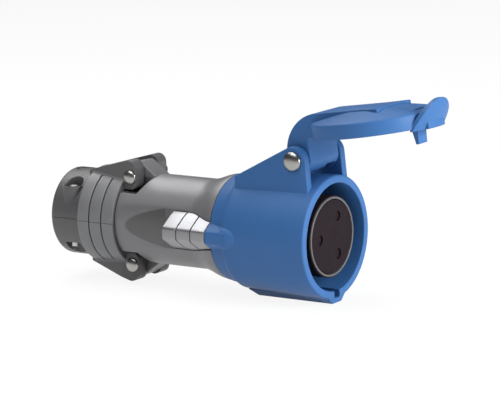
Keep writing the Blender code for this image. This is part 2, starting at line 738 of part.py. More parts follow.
def lid_seal():
    rim_rise = RIM_X - HINGE_X + LID_RIM_GAP / 2
    seal = lid_turned("lid_seal", [
        (rim_rise + LID_SEAL_THICKNESS, RIM_RADIUS), (rim_rise, RIM_RADIUS),
        (rim_rise, MOUTH_RADIUS - LID_SEAL_INSET),
        (rim_rise + LID_SEAL_THICKNESS, MOUTH_RADIUS - LID_SEAL_INSET),
    ], closed=True)
    return finish(seal, RUBBER, (HINGE_X, 0, HINGE_Z))


def domed_pin(name, x, z, half_length, radius, head_radius, head_height, values):
    """A pin along Y with a domed head on each side."""
    steps = 3
    dome = [
        (half_length + head_height * math.sin(a), head_radius * math.cos(a))
        for a in (math.pi / 2 * i / steps for i in range(steps, -1, -1))
    ]
    tail = [(-y, r) for y, r in reversed(dome)]
    pin = turned(name, dome + [(half_length, radius), (-half_length, radius)] + tail, SMALL_STEPS)
    pin.rotation_euler = (-math.pi / 2, 0, 0)
    pin.location = (x, 0, z)
    return finish(pin, values)


def hinge_pin():
    return domed_pin(
        "hinge_pin", HINGE_X, HINGE_Z, EAR_OUTER_Y + FIT, HINGE_PIN_RADIUS,
        HINGE_HEAD_RADIUS, HINGE_HEAD_HEIGHT, STEEL,
    )


def lid_spring():
    """Closing spring: turns round the pin, one leg down on the barrel, one up inside the knuckle."""
    per_turn = 9
    start, count = math.radians(215), SPRING_TURNS * per_turn
    turns = []
    for i in range(count + 1):
        a = start + 2 * math.pi * i / per_turn
        y = SPRING_MIDDLE_Y + (SPRING_LENGTH - 2 * SPRING_WIRE_RADIUS) * (i / count - 0.5)
        turns.append(Vector((
            HINGE_X + SPRING_COIL_RADIUS * math.cos(a), y, HINGE_Z + SPRING_COIL_RADIUS * math.sin(a),
        )))
    out = Vector((math.sin(start), 0, -math.cos(start)))
    turns.insert(0, turns[0] + out * -SPRING_LEG * 0.45)
    spring = wire("lid_spring", turns, SPRING_WIRE_RADIUS)
    return finish(spring, STEEL)


# Contact carrier, its face and its contacts


def contact_place(name):
    angle = math.radians(CONTACT_ANGLES[name])
    return CONTACT_CIRCLE_RADIUS * math.cos(angle), CONTACT_CIRCLE_RADIUS * math.sin(angle)


def contact_radius(name):
    return EARTH_RADIUS if name == "contact_earth" else POLE_RADIUS


def contact_carrier():
    flange_x = SHROUD_FLOOR_X - FLOOR_THICKNESS - FIT
    body = turned("contact_carrier", [
        (-SHUTTER_THICKNESS - FIT, 0), (-SHUTTER_THICKNESS - FIT, FACE_RADIUS - RING_WIDTH - FIT),
        (-RING_DEPTH - FIT, FACE_RADIUS - RING_WIDTH - FIT), (-RING_DEPTH - FIT, FACE_RADIUS),
        (flange_x, FACE_RADIUS), (flange_x, FLANGE_RADIUS),
        (flange_x - FLANGE_THICKNESS, FLANGE_RADIUS), (flange_x - FLANGE_THICKNESS, BLOCK_RADIUS),
        (BLOCK_REAR_X, BLOCK_RADIUS), (BLOCK_REAR_X, 0),
    ])
    join(body, rod("shutter_post", (-SHUTTER_THICKNESS - SINK, 0, 0), (0, 0, 0), SHUTTER_POST_RADIUS))
    for name in CONTACT_ANGLES:
        y, z = contact_place(name)
        bore = contact_radius(name) + CONTACT_WALL + FIT
        cut(body, rod("bore_" + name, (SINK, y, z), (BLOCK_REAR_X - SINK, y, z), bore))
        cut(body, rod(
            "screw_bore_" + name, (TERMINAL_X, y, z),
            (TERMINAL_X, 2.2 * y, 2.2 * z), TERMINAL_HEAD_RADIUS + FIT, sides=16,
        ))
    for i, (_, y, z) in enumerate(carrier_screw_places(), 1):
        cut(body, rod(
            f"flange_hole_{i}", (flange_x + SINK, y, z), (flange_x - FLANGE_THICKNESS - SINK, y, z),
            CARRIER_SCREW_RADIUS + FIT, sides=16,
        ))
    return finish(body, DARK)


def face_ring():
    ring = turned("face_ring", [
        (RING_PROUD, FACE_RADIUS), (-RING_DEPTH, FACE_RADIUS),
        (-RING_DEPTH, FACE_RADIUS - RING_WIDTH), (RING_PROUD, FACE_RADIUS - RING_WIDTH),
    ], closed=True)
    return finish(ring, PALE)


def shutter():
    """The disc that covers the contacts until it is turned, with its own three holes."""
    disc = turned("shutter", [
        (0, SHUTTER_POST_RADIUS + FIT), (0, FACE_RADIUS - RING_WIDTH - FIT),
        (-SHUTTER_THICKNESS, FACE_RADIUS - RING_WIDTH - FIT),
        (-SHUTTER_THICKNESS, SHUTTER_POST_RADIUS + FIT),
    ], closed=True)
    for name in CONTACT_ANGLES:
        angle = math.radians(CONTACT_ANGLES[name]) + SHUTTER_TURN
        y, z = CONTACT_CIRCLE_RADIUS * math.cos(angle), CONTACT_CIRCLE_RADIUS * math.sin(angle)
        cut(disc, rod(
            "shutter_hole_" + name, (SINK, y, z), (-SHUTTER_THICKNESS - SINK, y, z),
            contact_radius(name) + FIT, sides=20,
        ))
    return finish(disc, DARK, (0, 0, 0))


def contact(name):
    """A sleeve contact: a slotted tube in front and a solid terminal with its wire hole behind."""
    y, z = contact_place(name)
    inner = contact_radius(name)
    outer = inner + CONTACT_WALL
    tube = rod(name, (CONTACT_FRONT_X, y, z), (CONTACT_REAR_X, y, z), outer)
    bore = rod(
        name + "_bore", (CONTACT_FRONT_X + SINK, y, z), (CONTACT_FRONT_X - CONTACT_DEPTH, y, z), inner
    )
    slot = box(
        name + "_slot", (CONTACT_FRONT_X - CONTACT_DEPTH / 2, y - CONTACT_SLOT_WIDTH / 2, z - outer - SINK),
        (CONTACT_FRONT_X + SINK, y + CONTACT_SLOT_WIDTH / 2, z + outer + SINK),
    )
    wire_hole = rod(
        name + "_wire_hole", (CONTACT_REAR_X - SINK, y, z), (TERMINAL_X + WIRE_HOLE_OVERRUN, y, z),
        WIRE_HOLE_RADIUS, sides=16
    )
    out = Vector((0, y, z)).normalized()
    start = Vector((TERMINAL_X, y, z))
    tapped = rod(
        name + "_tapped", start, start + out * (outer + SINK),
        TERMINAL_SCREW_RADIUS + THREAD_CLEARANCE, sides=16,
    )
    cut(tube, bore, slot, wire_hole, tapped)
    return finish(tube, BRASS)


def terminal_screw(name):
    y, z = contact_place(name)
    out = Vector((0, y, z)).normalized()
    outer = contact_radius(name) + CONTACT_WALL
    seat = Vector((TERMINAL_X, y, z)) + out * (outer + FIT)
    head_top = seat + out * TERMINAL_HEAD_HEIGHT
    screw = rod(name.replace("contact", "terminal_screw"), seat, head_top, TERMINAL_HEAD_RADIUS, sides=16)
    shank = rod(
        screw.name + "_shank", seat + out * TERMINAL_HEAD_HEIGHT / 2,
        seat - out * (outer - 2 * THREAD_CLEARANCE),
        TERMINAL_SCREW_RADIUS - 2 * THREAD_CLEARANCE, sides=16,
    )
    join(screw, shank)
    across = Vector((1, 0, 0))
    slot = box(screw.name + "_slot", [-size / 2 for size in SMALL_SLOT], [size / 2 for size in SMALL_SLOT])
    slot.matrix_world = Matrix.Translation(head_top) @ Matrix(
        (across, out.cross(across), out)
    ).transposed().to_4x4()
    cut(screw, slot)
    return finish(screw, STEEL)


def carrier_screw(number, place):
    _, y, z = place
    seat = SHROUD_FLOOR_X - FLOOR_THICKNESS - 2 * FIT - FLANGE_THICKNESS
    rear = seat - CARRIER_SCREW_HEAD_HEIGHT
    head = rod(
        f"carrier_screw_{number}", (seat, y, z), (rear, y, z), CARRIER_SCREW_HEAD_RADIUS - 0.5 * MM, sides=16
    )
    join(head, rod(
        f"carrier_screw_{number}_shank", ((seat + rear) / 2, y, z),
        (seat + CARRIER_SCREW_LENGTH - 1.0 * MM, y, z), CARRIER_SCREW_RADIUS, sides=16,
    ))
    cut(head, box(
        f"carrier_screw_{number}_slot", (rear - SINK, y - SMALL_SLOT[0] / 2, z - SMALL_SLOT[1] / 2),
        (rear + SMALL_SLOT[2] / 2, y + SMALL_SLOT[0] / 2, z + SMALL_SLOT[1] / 2),
    ))
    return finish(head, STEEL)


def housing_seal():
    seal = turned("housing_seal", [
        (SEAL_FRONT_X, REAR_BORE_RADIUS - FIT), (SEAL_FRONT_X - SEAL_WIDTH, REAR_BORE_RADIUS - FIT),
        (SEAL_FRONT_X - SEAL_WIDTH, SEAL_GROOVE_RADIUS + FIT), (SEAL_FRONT_X, SEAL_GROOVE_RADIUS + FIT),
    ], closed=True)
    return finish(seal, RUBBER)


# Handle


def handle_flare():
    """The outer line from the joint back to the grip, an S-curve."""
    steps = 6
    front = JOINT_X - FIT
    points = []
    for i in range(steps + 1):
        t = i / steps
        ease = t * t * (3 - 2 * t)
        points.append((
            front + (HANDLE_FLARE_END_X - front) * t,
            JOINT_RADIUS - 0.2 * MM + (HANDLE_RADIUS - JOINT_RADIUS + 0.2 * MM) * ease,
        ))
    return points


def fin(sign):
    """The fin between the two ears of a clamp half, with its sloping front."""
    root = TAIL_RADIUS - FIN_ROOT
    outline = [
        (FIN_FRONT_X, FIN_TOP_Z), (FIN_FOOT_X, HANDLE_RADIUS - FIN_FOOT_SINK), (FIN_FOOT_X, root),
        (FIN_REAR_X, root), (FIN_REAR_X, FIN_REAR_Z),
    ]
    name = "fin_upper" if sign > 0 else "fin_lower"
    return plate(name, [(x, sign * z) for x, z in outline], -FIN_HALF_WIDTH, FIN_HALF_WIDTH)


def ear_recess(sign, side):
    """The flat pocket in the handle that a clamp ear stands in."""
    outline = [
        (HANDLE_REAR_X - SINK, EAR_RECESS_Z), (EAR_RECESS_FRONT_X, EAR_RECESS_Z),
        (EAR_RECESS_END_X, HANDLE_RADIUS), (EAR_RECESS_END_X, FIN_TOP_Z),
        (HANDLE_REAR_X - SINK, FIN_TOP_Z),
    ]
    low, high = mirrored(FIN_HALF_WIDTH, HANDLE_RADIUS, side)
    name = f"ear_recess_{'upper' if sign > 0 else 'lower'}_{'left' if side < 0 else 'right'}"
    return plate(name, [(x, sign * z) for x, z in outline], low, high)


def thumb_recess(side, name):
    """The flat that leads the thumb to the slider: level behind it, then rising to the surface."""
    floor = SLIDER_BASE_Y - FIT
    flat_rear = SLIDER_REAR_X - SLIDER_STROKE - THUMB_FLAT_LENGTH
    outer = HANDLE_RADIUS + 2 * SINK
    slope = (HANDLE_RADIUS - floor) / (flat_rear - THUMB_TIP_X)
    outline = [
        (SLIDER_REAR_X, floor), (flat_rear, floor),
        (THUMB_TIP_X - 2 * SINK, HANDLE_RADIUS + 2 * SINK * slope),
        (THUMB_TIP_X - 2 * SINK, outer), (SLIDER_REAR_X, outer),
    ]
    return plate("thumb_recess_" + name, [(x, side * y) for x, y in outline], -outer, outer, "XY")


def slider_pocket(side, name):
    """The track in the handle, of the slider's own section."""
    return slider_prism(
        "slider_pocket_" + name, side, SLIDER_REAR_X - SLIDER_STROKE - FIT, JOINT_X + SINK, FIT
    )


def lug_groove(side, name):
    """The groove under a slider for its lug and its spring."""
    low, high = mirrored(SLIDER_BASE_Y - LUG_DEPTH - FIT, SLIDER_BASE_Y, side)
    return box(
        "lug_groove_" + name, (LUG_FRONT_X - LUG_LENGTH - LUG_GROOVE_LENGTH, low, -LUG_HALF_WIDTH - FIT),
        (LUG_FRONT_X + FIT, high, LUG_HALF_WIDTH + FIT),
    )


def handle():
    spigot_radius = REAR_BORE_RADIUS - FIT
    spigot_front = JOINT_X + SPIGOT_LENGTH
    seal_rear = SEAL_FRONT_X - SEAL_WIDTH - FIT
    body = turned("handle", [
        (spigot_front, 0), (spigot_front, spigot_radius), (SEAL_FRONT_X + FIT, spigot_radius),
        (SEAL_FRONT_X + FIT, SEAL_GROOVE_RADIUS), (seal_rear, SEAL_GROOVE_RADIUS),
        (seal_rear, spigot_radius), (JOINT_X - FIT, spigot_radius),
    ] + handle_flare() + [
        (HANDLE_REAR_X, HANDLE_RADIUS), (HANDLE_REAR_X, TAIL_RADIUS), (TAIL_REAR_X, TAIL_RADIUS),
        (TAIL_REAR_X, 0),
    ])
    join(body, fin(1), fin(-1))
    hollow = turned("handle_hollow", [
        (spigot_front + SINK, 0), (spigot_front + SINK, SPIGOT_BORE_RADIUS),
        (SPIGOT_BORE_END_X, SPIGOT_BORE_RADIUS), (BORE_STEP_X, NECK_BORE_RADIUS),
        (BORE_TAPER_END_X, CABLE_BORE_RADIUS), (TAIL_REAR_X - SINK, CABLE_BORE_RADIUS),
        (TAIL_REAR_X - SINK, 0),
    ])
    cut(body, *[ear_recess(sign, side) for sign in (1, -1) for side in (-1, 1)])
    cut(body, *both_sides(slider_pocket), *both_sides(thumb_recess), *both_sides(lug_groove))
    cut(body, hollow)
    for sign in (1, -1):
        cut(body, rod(
            f"fin_bore_{sign}", (CLAMP_PIN_X, -2 * FIN_HALF_WIDTH, sign * CLAMP_PIN_Z),
            (CLAMP_PIN_X, 2 * FIN_HALF_WIDTH, sign * CLAMP_PIN_Z), CLAMP_PIN_RADIUS + FIT, sides=20,
        ))
    return finish(body, GREY)


# Sliders


def slider(side, name):
    body = slider_prism("slider_" + name, side, SLIDER_REAR_X, SLIDER_FRONT_X)
    for number, x in enumerate(SLIDER_GROOVES_X):
        groove = slider_prism(
            f"slider_groove_{name}_{number}", side, x - SLIDER_GROOVE_WIDTH / 2,
            x + SLIDER_GROOVE_WIDTH / 2, SINK,
        )
        core = slider_prism(
            f"slider_core_{name}_{number}", side, x - SLIDER_GROOVE_WIDTH,
            x + SLIDER_GROOVE_WIDTH, -SLIDER_GROOVE_DEPTH,
        )
        cut(groove, core)
        cut(body, groove)
    low, high = mirrored(SLIDER_BASE_Y - LUG_DEPTH, SLIDER_BASE_Y + 2 * SINK, side)
    join(body, box(
        "slider_lug_" + name, (LUG_FRONT_X - LUG_LENGTH, low, -LUG_HALF_WIDTH),
        (LUG_FRONT_X, high, LUG_HALF_WIDTH),
    ))
    return finish(body, SILVER, (SLIDER_FRONT_X, side * SLIDER_BASE_Y, 0))


def slider_spring(side, name):
    per_turn = 6
    rear = LUG_FRONT_X - LUG_LENGTH - LUG_GROOVE_LENGTH + 2 * SLIDER_SPRING_WIRE
    front = LUG_FRONT_X - LUG_LENGTH - SLIDER_STROKE - 2 * SLIDER_SPRING_WIRE
    count = SLIDER_SPRING_TURNS * per_turn
    middle = SLIDER_BASE_Y - LUG_DEPTH / 2
    points = []
    for i in range(count + 1):
        a = 2 * math.pi * i / per_turn
        points.append((
            rear + (front - rear) * i / count, side * (middle + SLIDER_SPRING_RADIUS * math.cos(a) * 0.8),
            SLIDER_SPRING_RADIUS * math.sin(a),
        ))
    return finish(wire("slider_spring_" + name, points, SLIDER_SPRING_WIRE), STEEL)


# Cable clamp


def clamp_profile():
    """The outer line of the clamp, front to rear: ribbed bands, then the plain collar."""
    points = [(CLAMP_FRONT_X, 0)]
    x = CLAMP_FRONT_X
    for number in range(BAND_COUNT):
        rear = x - BAND_LENGTH
        points += [(x, BAND_RADIUS), (rear, BAND_RADIUS)]
        if number < BAND_COUNT - 1:
            floor = BAND_RADIUS - BAND_GROOVE_DEPTH
            points += [(rear, floor), (rear - BAND_GROOVE_WIDTH, floor)]
            x = rear - BAND_GROOVE_WIDTH
    points.append((rear, COLLAR_RADIUS))
    steps = 3
    for i in range(steps + 1):
        a = math.pi / 2 * i / steps
        points.append((
            CLAMP_REAR_X + COLLAR_ROUND * (1 - math.sin(a)),
            COLLAR_END_RADIUS + (COLLAR_RADIUS - COLLAR_END_RADIUS) * math.cos(a),
        ))
    return points + [(CLAMP_REAR_X, 0)]


def clamp_hollow(name):
    tail_bore = TAIL_RADIUS + FIT
    return turned(name, [
        (CLAMP_FRONT_X + SINK, 0), (CLAMP_FRONT_X + SINK, tail_bore), (TAIL_REAR_X - FIT, tail_bore),
        (TAIL_REAR_X - FIT, GROMMET_RADIUS + FIT), (CLAMP_REAR_X + REAR_LIP, GROMMET_RADIUS + FIT),
        (CLAMP_REAR_X + REAR_LIP, CABLE_HOLE_RADIUS), (CLAMP_REAR_X - SINK, CABLE_HOLE_RADIUS),
        (CLAMP_REAR_X - SINK, 0),
    ])


def clamp_ears(name, sign):
    """Both ears of a half and the roof between them, narrower to the rear, before the fin's slot."""
    corners = [
        (CLAMP_EAR_REAR_X, CLAMP_EAR_LOW_Z, 0), (CLAMP_EAR_REAR_X, CLAMP_EAR_REAR_Z, 0),
        (CLAMP_EAR_FRONT_X, CLAMP_EAR_TOP_Z, CLAMP_EAR_TOP_ROUND),
        (CLAMP_EAR_FRONT_X, CLAMP_EAR_LOW_Z, CLAMP_EAR_LOW_ROUND),
    ]
    outline = [(x, sign * z) for x, z in rounded(corners, 4)]
    ears = plate(name, outline, -CLAMP_EAR_OUTER_Y, CLAMP_EAR_OUTER_Y)
    plan = [
        (CLAMP_EAR_FRONT_X + SINK, CLAMP_EAR_OUTER_Y + SINK),
        (CLAMP_EAR_BEND_X + SINK, CLAMP_EAR_OUTER_Y + SINK),
        (CLAMP_EAR_BEND_X, CLAMP_EAR_OUTER_Y), (CLAMP_EAR_REAR_X, CLAMP_EAR_REAR_Y),
        (CLAMP_EAR_REAR_X - SINK, CLAMP_EAR_REAR_Y),
    ]
    plan += [(x, -y) for x, y in reversed(plan)]
    low, high = mirrored(CLAMP_EAR_LOW_Z - SINK, CLAMP_EAR_TOP_Z + SINK, sign)
    keep(ears, plate(name + "_plan", plan, low, high, "XY"))
    return ears


def screw_boss(name, side):
    """A round boss for a screw head, standing out of the upper half's collar."""
    y = side * SCREW_Y
    return rod(name, (SCREW_X, y, SINK), (SCREW_X, y, SCREW_BOSS_TOP_Z), SCREW_BOSS_RADIUS, sides=24)


def clamp_half(name, sign):
    body = turned(name, clamp_profile())
    join(body, clamp_ears(name + "_ears", sign))
    if sign > 0:
        join(body, *[screw_boss(f"{name}_boss_{side}", side) for side in (-1, 1)])
    seat = SCREW_SEAT_Z if sign > 0 else NUT_SEAT_Z
    far = 2 * BAND_RADIUS
    split_low, split_high = sorted((sign * CLAMP_SPLIT_GAP / 2, -sign * far))
    cut(body, box(
        name + "_split", (CLAMP_REAR_X - far, -far, split_low), (CLAMP_FRONT_X + far, far, split_high),
    ))
    slot_low, slot_high = sorted((sign * EAR_RECESS_Z / 2, sign * far))
    cut(body, box(
        name + "_slot", (FIN_REAR_X - FIT, -FIN_HALF_WIDTH - FIT, slot_low),
        (CLAMP_FRONT_X + far, FIN_HALF_WIDTH + FIT, slot_high),
    ))
    cut(body, clamp_hollow(name + "_hollow"))
    for side in (-1, 1):
        y = side * SCREW_Y
        cut(body, rod(
            f"{name}_pocket_{side}", (SCREW_X, y, sign * seat), (SCREW_X, y, sign * far),
            SCREW_POCKET_RADIUS, sides=24,
        ))
        cut(body, rod(
            f"{name}_bore_{side}", (SCREW_X, y, 0), (SCREW_X, y, sign * far),
            SCREW_SHANK_RADIUS + FIT,
        ))
    cut(body, rod(
        name + "_pin_bore", (CLAMP_PIN_X, -far, sign * CLAMP_PIN_Z), (CLAMP_PIN_X, far, sign * CLAMP_PIN_Z),
        CLAMP_PIN_RADIUS + FIT, sides=20,
    ))
    cut(body, rod(
        name + "_dish", (TOP_DISH_X, 0, sign * (COLLAR_RADIUS - TOP_DISH_DEPTH)),
        (TOP_DISH_X, 0, sign * far), TOP_DISH_RADIUS, sides=20,
    ))
    return finish(body, GREY)


def clamp_pin(name, sign):
    return domed_pin(
        name, CLAMP_PIN_X, sign * CLAMP_PIN_Z, CLAMP_EAR_OUTER_Y + FIT, CLAMP_PIN_RADIUS,
        CLAMP_PIN_HEAD_RADIUS, CLAMP_PIN_HEAD_HEIGHT, STEEL,
    )


def clamp_screw(side, name):
    """A slotted cheese-head screw down through both halves of the clamp."""
    y = side * SCREW_Y
    seat = SCREW_SEAT_Z + FIT
    top = seat + SCREW_HEAD_HEIGHT
    head = rod("clamp_screw_" + name, (SCREW_X, y, seat), (SCREW_X, y, top), SCREW_HEAD_RADIUS, sides=20)
    join(head, rod(
        f"clamp_screw_{name}_shank", (SCREW_X, y, seat + SINK),
        (SCREW_X, y, -NUT_SEAT_Z - NUT_HEIGHT - FIT), SCREW_SHANK_RADIUS,
    ))
    cut(head, box(
        f"clamp_screw_{name}_slot",
        (SCREW_X - 2 * SCREW_HEAD_RADIUS, y - SCREW_SLOT_WIDTH / 2, top - SCREW_SLOT_DEPTH),
        (SCREW_X + 2 * SCREW_HEAD_RADIUS, y + SCREW_SLOT_WIDTH / 2, top + SINK),
    ))
    return finish(head, STEEL)


def clamp_nut(side, name):
    y = side * SCREW_Y
    top = -NUT_SEAT_Z - FIT
    nut = rod("clamp_nut_" + name, (SCREW_X, y, top), (SCREW_X, y, top - NUT_HEIGHT), NUT_RADIUS, sides=6)
    cut(nut, rod(
        f"clamp_nut_{name}_bore", (SCREW_X, y, top + SINK), (SCREW_X, y, top - NUT_HEIGHT - SINK),
        SCREW_SHANK_RADIUS + THREAD_CLEARANCE,
    ))
    return finish(nut, STEEL)


def cable_grommet():
    front = TAIL_REAR_X - 2 * FIT
    rear = CLAMP_REAR_X + REAR_LIP + FIT
    inner = GROMMET_RADIUS - GROMMET_WALL
    ribs = 2
    span = (front - rear) / (2 * ribs + 1)
    outer = [(front, GROMMET_RADIUS)]
    for i in range(ribs):
        x = front - span * (2 * i + 1)
        outer += [
            (x, GROMMET_RADIUS), (x, GROMMET_RADIUS - GROMMET_RIB),
            (x - span, GROMMET_RADIUS - GROMMET_RIB), (x - span, GROMMET_RADIUS),
        ]
    outer.append((rear, GROMMET_RADIUS))
    return finish(turned("cable_grommet", outer + [(rear, inner), (front, inner)], 32, closed=True), RUBBER)


def build():
    front_housing()
    lid()
    lid_seal()
    hinge_pin()
    lid_spring()
    contact_carrier()
    face_ring()
    shutter()
    for name in CONTACT_ANGLES:
        contact(name)
        terminal_screw(name)
    for number, place in enumerate(carrier_screw_places(), 1):
        carrier_screw(number, place)
    housing_seal()
    handle()
    both_sides(slider)
    both_sides(slider_spring)
    clamp_half("clamp_upper", 1)
    clamp_half("clamp_lower", -1)
    clamp_pin("clamp_pin_upper", 1)
    clamp_pin("clamp_pin_lower", -1)
    both_sides(clamp_screw)
    both_sides(clamp_nut)
    cable_grommet()


build()
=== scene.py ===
import json
import math

import bmesh
import bpy
from mathutils import Matrix, Vector

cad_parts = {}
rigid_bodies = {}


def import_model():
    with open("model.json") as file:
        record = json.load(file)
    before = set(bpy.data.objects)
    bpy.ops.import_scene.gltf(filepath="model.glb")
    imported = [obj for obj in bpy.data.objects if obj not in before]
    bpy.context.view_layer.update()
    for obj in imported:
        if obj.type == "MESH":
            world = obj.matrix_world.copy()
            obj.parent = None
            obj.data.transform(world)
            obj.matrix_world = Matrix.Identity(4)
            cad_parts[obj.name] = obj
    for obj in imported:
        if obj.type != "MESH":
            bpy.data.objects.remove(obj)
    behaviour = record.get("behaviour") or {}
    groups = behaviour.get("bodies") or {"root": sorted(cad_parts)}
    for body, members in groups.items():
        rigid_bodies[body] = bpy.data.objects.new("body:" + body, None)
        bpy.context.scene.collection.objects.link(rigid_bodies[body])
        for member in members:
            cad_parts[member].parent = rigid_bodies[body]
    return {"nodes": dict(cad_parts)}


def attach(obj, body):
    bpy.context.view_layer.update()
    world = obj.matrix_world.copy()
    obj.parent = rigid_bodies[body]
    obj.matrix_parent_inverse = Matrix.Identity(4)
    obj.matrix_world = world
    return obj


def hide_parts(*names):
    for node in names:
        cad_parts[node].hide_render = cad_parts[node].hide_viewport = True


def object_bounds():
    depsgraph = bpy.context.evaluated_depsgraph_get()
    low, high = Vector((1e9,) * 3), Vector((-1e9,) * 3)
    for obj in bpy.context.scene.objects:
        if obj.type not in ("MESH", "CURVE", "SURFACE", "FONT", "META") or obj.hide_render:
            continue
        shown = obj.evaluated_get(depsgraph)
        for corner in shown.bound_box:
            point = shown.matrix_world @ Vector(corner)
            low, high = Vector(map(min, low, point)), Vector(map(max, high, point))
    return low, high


# Industrial socket with its lid open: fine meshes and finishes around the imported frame.
# X runs out of the mouth, Z is up, and the origin is the centre of the contact face.

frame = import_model()
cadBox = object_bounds()
nodes = frame["nodes"]
mm = 0.001
gap = 0.3 * mm
reach = 1.0 * mm  # how far a cutter or a joined piece goes past a face
weld = 0.002 * mm  # points closer than this become one
onAxis = 0.0001 * mm  # a ring smaller than this is one point

print("frame loaded")


# Shapes: turned, flat and round solids, joined and cut, then settled into one mesh

workshop = bpy.data.collections.new("workshop")
bpy.context.scene.collection.children.link(workshop)


def addObject(name, mesh):
    piece = bpy.data.objects.new(name, mesh)
    workshop.objects.link(piece)
    return piece


def meshFrom(name, work):
    mesh = bpy.data.meshes.new(name)
    bmesh.ops.remove_doubles(work, verts=work.verts, dist=weld)
    bmesh.ops.recalc_face_normals(work, faces=work.faces)
    work.to_mesh(mesh)
    work.free()
    return mesh


def inMetres(sizes):
    return {name: value * mm for name, value in sizes.items()}


def spread(start, end, steps):
    # evenly spaced values with both ends
    return [start + (end - start) * i / steps for i in range(steps + 1)]


def mirrored(outline, side):
    return [(a, side * b) for a, b in outline]


def turned(name, profile, steps=144, closed=False, axis="X"):
    # (level, radius) points, turned about an axis
    work = bmesh.new()
    place = {
        "X": lambda level, a, b: (level, a, b),
        "Z": lambda level, a, b: (a, b, level),
    }[axis]
    turns = [2 * math.pi * i / steps for i in range(steps)]
    rings = []
    for level, radius in profile:
        if radius < onAxis:
            rings.append([work.verts.new(place(level, 0, 0))])
            continue
        rings.append([
            work.verts.new(place(level, radius * math.sin(t), radius * math.cos(t))) for t in turns
        ])
    pairs = list(zip(rings, rings[1:]))
    if closed:
        pairs.append((rings[-1], rings[0]))
    for first, second in pairs:
        for i in range(steps):
            j = (i + 1) % steps
            corners = [
                first[i % len(first)], first[j % len(first)],
                second[j % len(second)], second[i % len(second)],
            ]
            unique = list(dict.fromkeys(corners))
            if len(unique) > 2:
                work.faces.new(unique)
    return addObject(name, meshFrom(name, work))


def rounded(corners, steps=6):
    # a line of (a, b, radius) corners as points, each corner turned into an arc
    points = []
    count = len(corners)
    for i, (a, b, radius) in enumerate(corners):
        here = Vector((a, b))
        if not radius:
            points.append(here)
            continue
        before = (Vector(corners[i - 1][:2]) - here).normalized()
        after = (Vector(corners[(i + 1) % count][:2]) - here).normalized()
        half = before.angle(after) / 2
        centre = here + (before + after).normalized() * radius / math.sin(half)
        first = here + before * radius / math.tan(half) - centre
        last = here + after * radius / math.tan(half) - centre
        turn = first.angle_signed(last)
        points += [centre + Matrix.Rotation(angle, 2) @ first for angle in spread(0, -turn, steps)]
    return points


def plate(name, outline, low, high, plane="XZ", bevel=0.0):
    # a flat outline between two levels of the axis that its plane leaves out
    work = bmesh.new()
    place = {
        "XZ": lambda a, b, level: (a, level, b),
        "XY": lambda a, b, level: (a, b, level),
        "YZ": lambda a, b, level: (level, a, b),
    }[plane]
    bottom = [work.verts.new(place(a, b, low)) for a, b in outline]
    top = [work.verts.new(place(a, b, high)) for a, b in outline]
    work.faces.new(bottom)
    work.faces.new(list(reversed(top)))
    for i in range(len(outline)):
        j = (i + 1) % len(outline)
        work.faces.new((bottom[i], top[i], top[j], bottom[j]))
    piece = addObject(name, meshFrom(name, work))
    if bevel:
        addBevel(piece, bevel, 3)
    return piece


def addBevel(piece, width, segments=2, angle=35):
    step = piece.modifiers.new("soft edges", "BEVEL")
    step.width = width
    step.segments = segments
    step.limit_method = "ANGLE"
    step.angle_limit = math.radians(angle)
    return piece


def box(name, low, high, bevel=0.0):
    work = bmesh.new()
    bmesh.ops.create_cube(work, size=1)
    low, high = Vector(low), Vector(high)
    bmesh.ops.scale(work, vec=high - low, verts=work.verts)
    bmesh.ops.translate(work, vec=(low + high) / 2, verts=work.verts)
    piece = addObject(name, meshFrom(name, work))
    if bevel:
        addBevel(piece, bevel, 3)
    return piece


def rod(name, start, end, radius, sides=64):
    start, end = Vector(start), Vector(end)
    work = bmesh.new()
    bmesh.ops.create_cone(
        work, cap_ends=True, segments=sides, radius1=radius, radius2=radius, depth=(end - start).length,
    )
    turn = (end - start).to_track_quat("Z", "Y").to_matrix().to_4x4()
    bmesh.ops.transform(work, matrix=Matrix.Translation((start + end) / 2) @ turn, verts=work.verts)
    return addObject(name, meshFrom(name, work))


def rodAlong(name, y, z, start, end, radius):
    return rod(name, (start, y, z), (end, y, z), radius)


def rodAcross(name, x, z, half, radius):
    return rod(name, (x, -half, z), (x, half, z), radius)


def rodUp(name, x, y, start, end, radius):
    return rod(name, (x, y, start), (x, y, end), radius)


def ordered(side, first, second):
    # two places, mirrored where side is -1, as the lower and the higher one
    return sorted((side * first, side * second))


def combine(piece, others, operation):
    for other in others:
        step = piece.modifiers.new(operation.lower(), "BOOLEAN")
        step.operation = operation
        step.object = other
        step.solver = "EXACT"


def join(piece, *others):
    combine(piece, others, "UNION")


def cut(piece, *others):
    combine(piece, others, "DIFFERENCE")


def keep(piece, *others):
    combine(piece, others, "INTERSECT")


def settle(piece, sharp=30):
    # applies the modifiers and the place, and leaves one plain mesh
    bpy.context.view_layer.update()
    graph = bpy.context.evaluated_depsgraph_get()
    mesh = bpy.data.meshes.new_from_object(piece.evaluated_get(graph))
    mesh.transform(piece.matrix_world)
    work = bmesh.new()
    work.from_mesh(mesh)
    bmesh.ops.remove_doubles(work, verts=work.verts, dist=weld / 2)
    bmesh.ops.dissolve_degenerate(work, edges=work.edges, dist=weld / 2)
    work.to_mesh(mesh)
    work.free()
    mesh.materials.clear()
    mesh.shade_smooth()
    mesh.set_sharp_from_angle(angle=math.radians(sharp))
    mesh.name = piece.name
    piece.modifiers.clear()
    piece.data = mesh
    piece.matrix_world = Matrix.Identity(4)
    return piece


def finishPiece(piece, body, finish, replaced):
    # settles a piece and puts it into the frame in the place of its plain solids
    settle(piece)
    workshop.objects.unlink(piece)
    bpy.context.scene.collection.objects.link(piece)
    piece.data.materials.append(finishes[finish])
    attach(piece, body)
    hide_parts(*replaced)


def clearWorkshop():
    for piece in list(workshop.objects):
        bpy.data.objects.remove(piece, do_unlink=True)
    bpy.data.collections.remove(workshop)


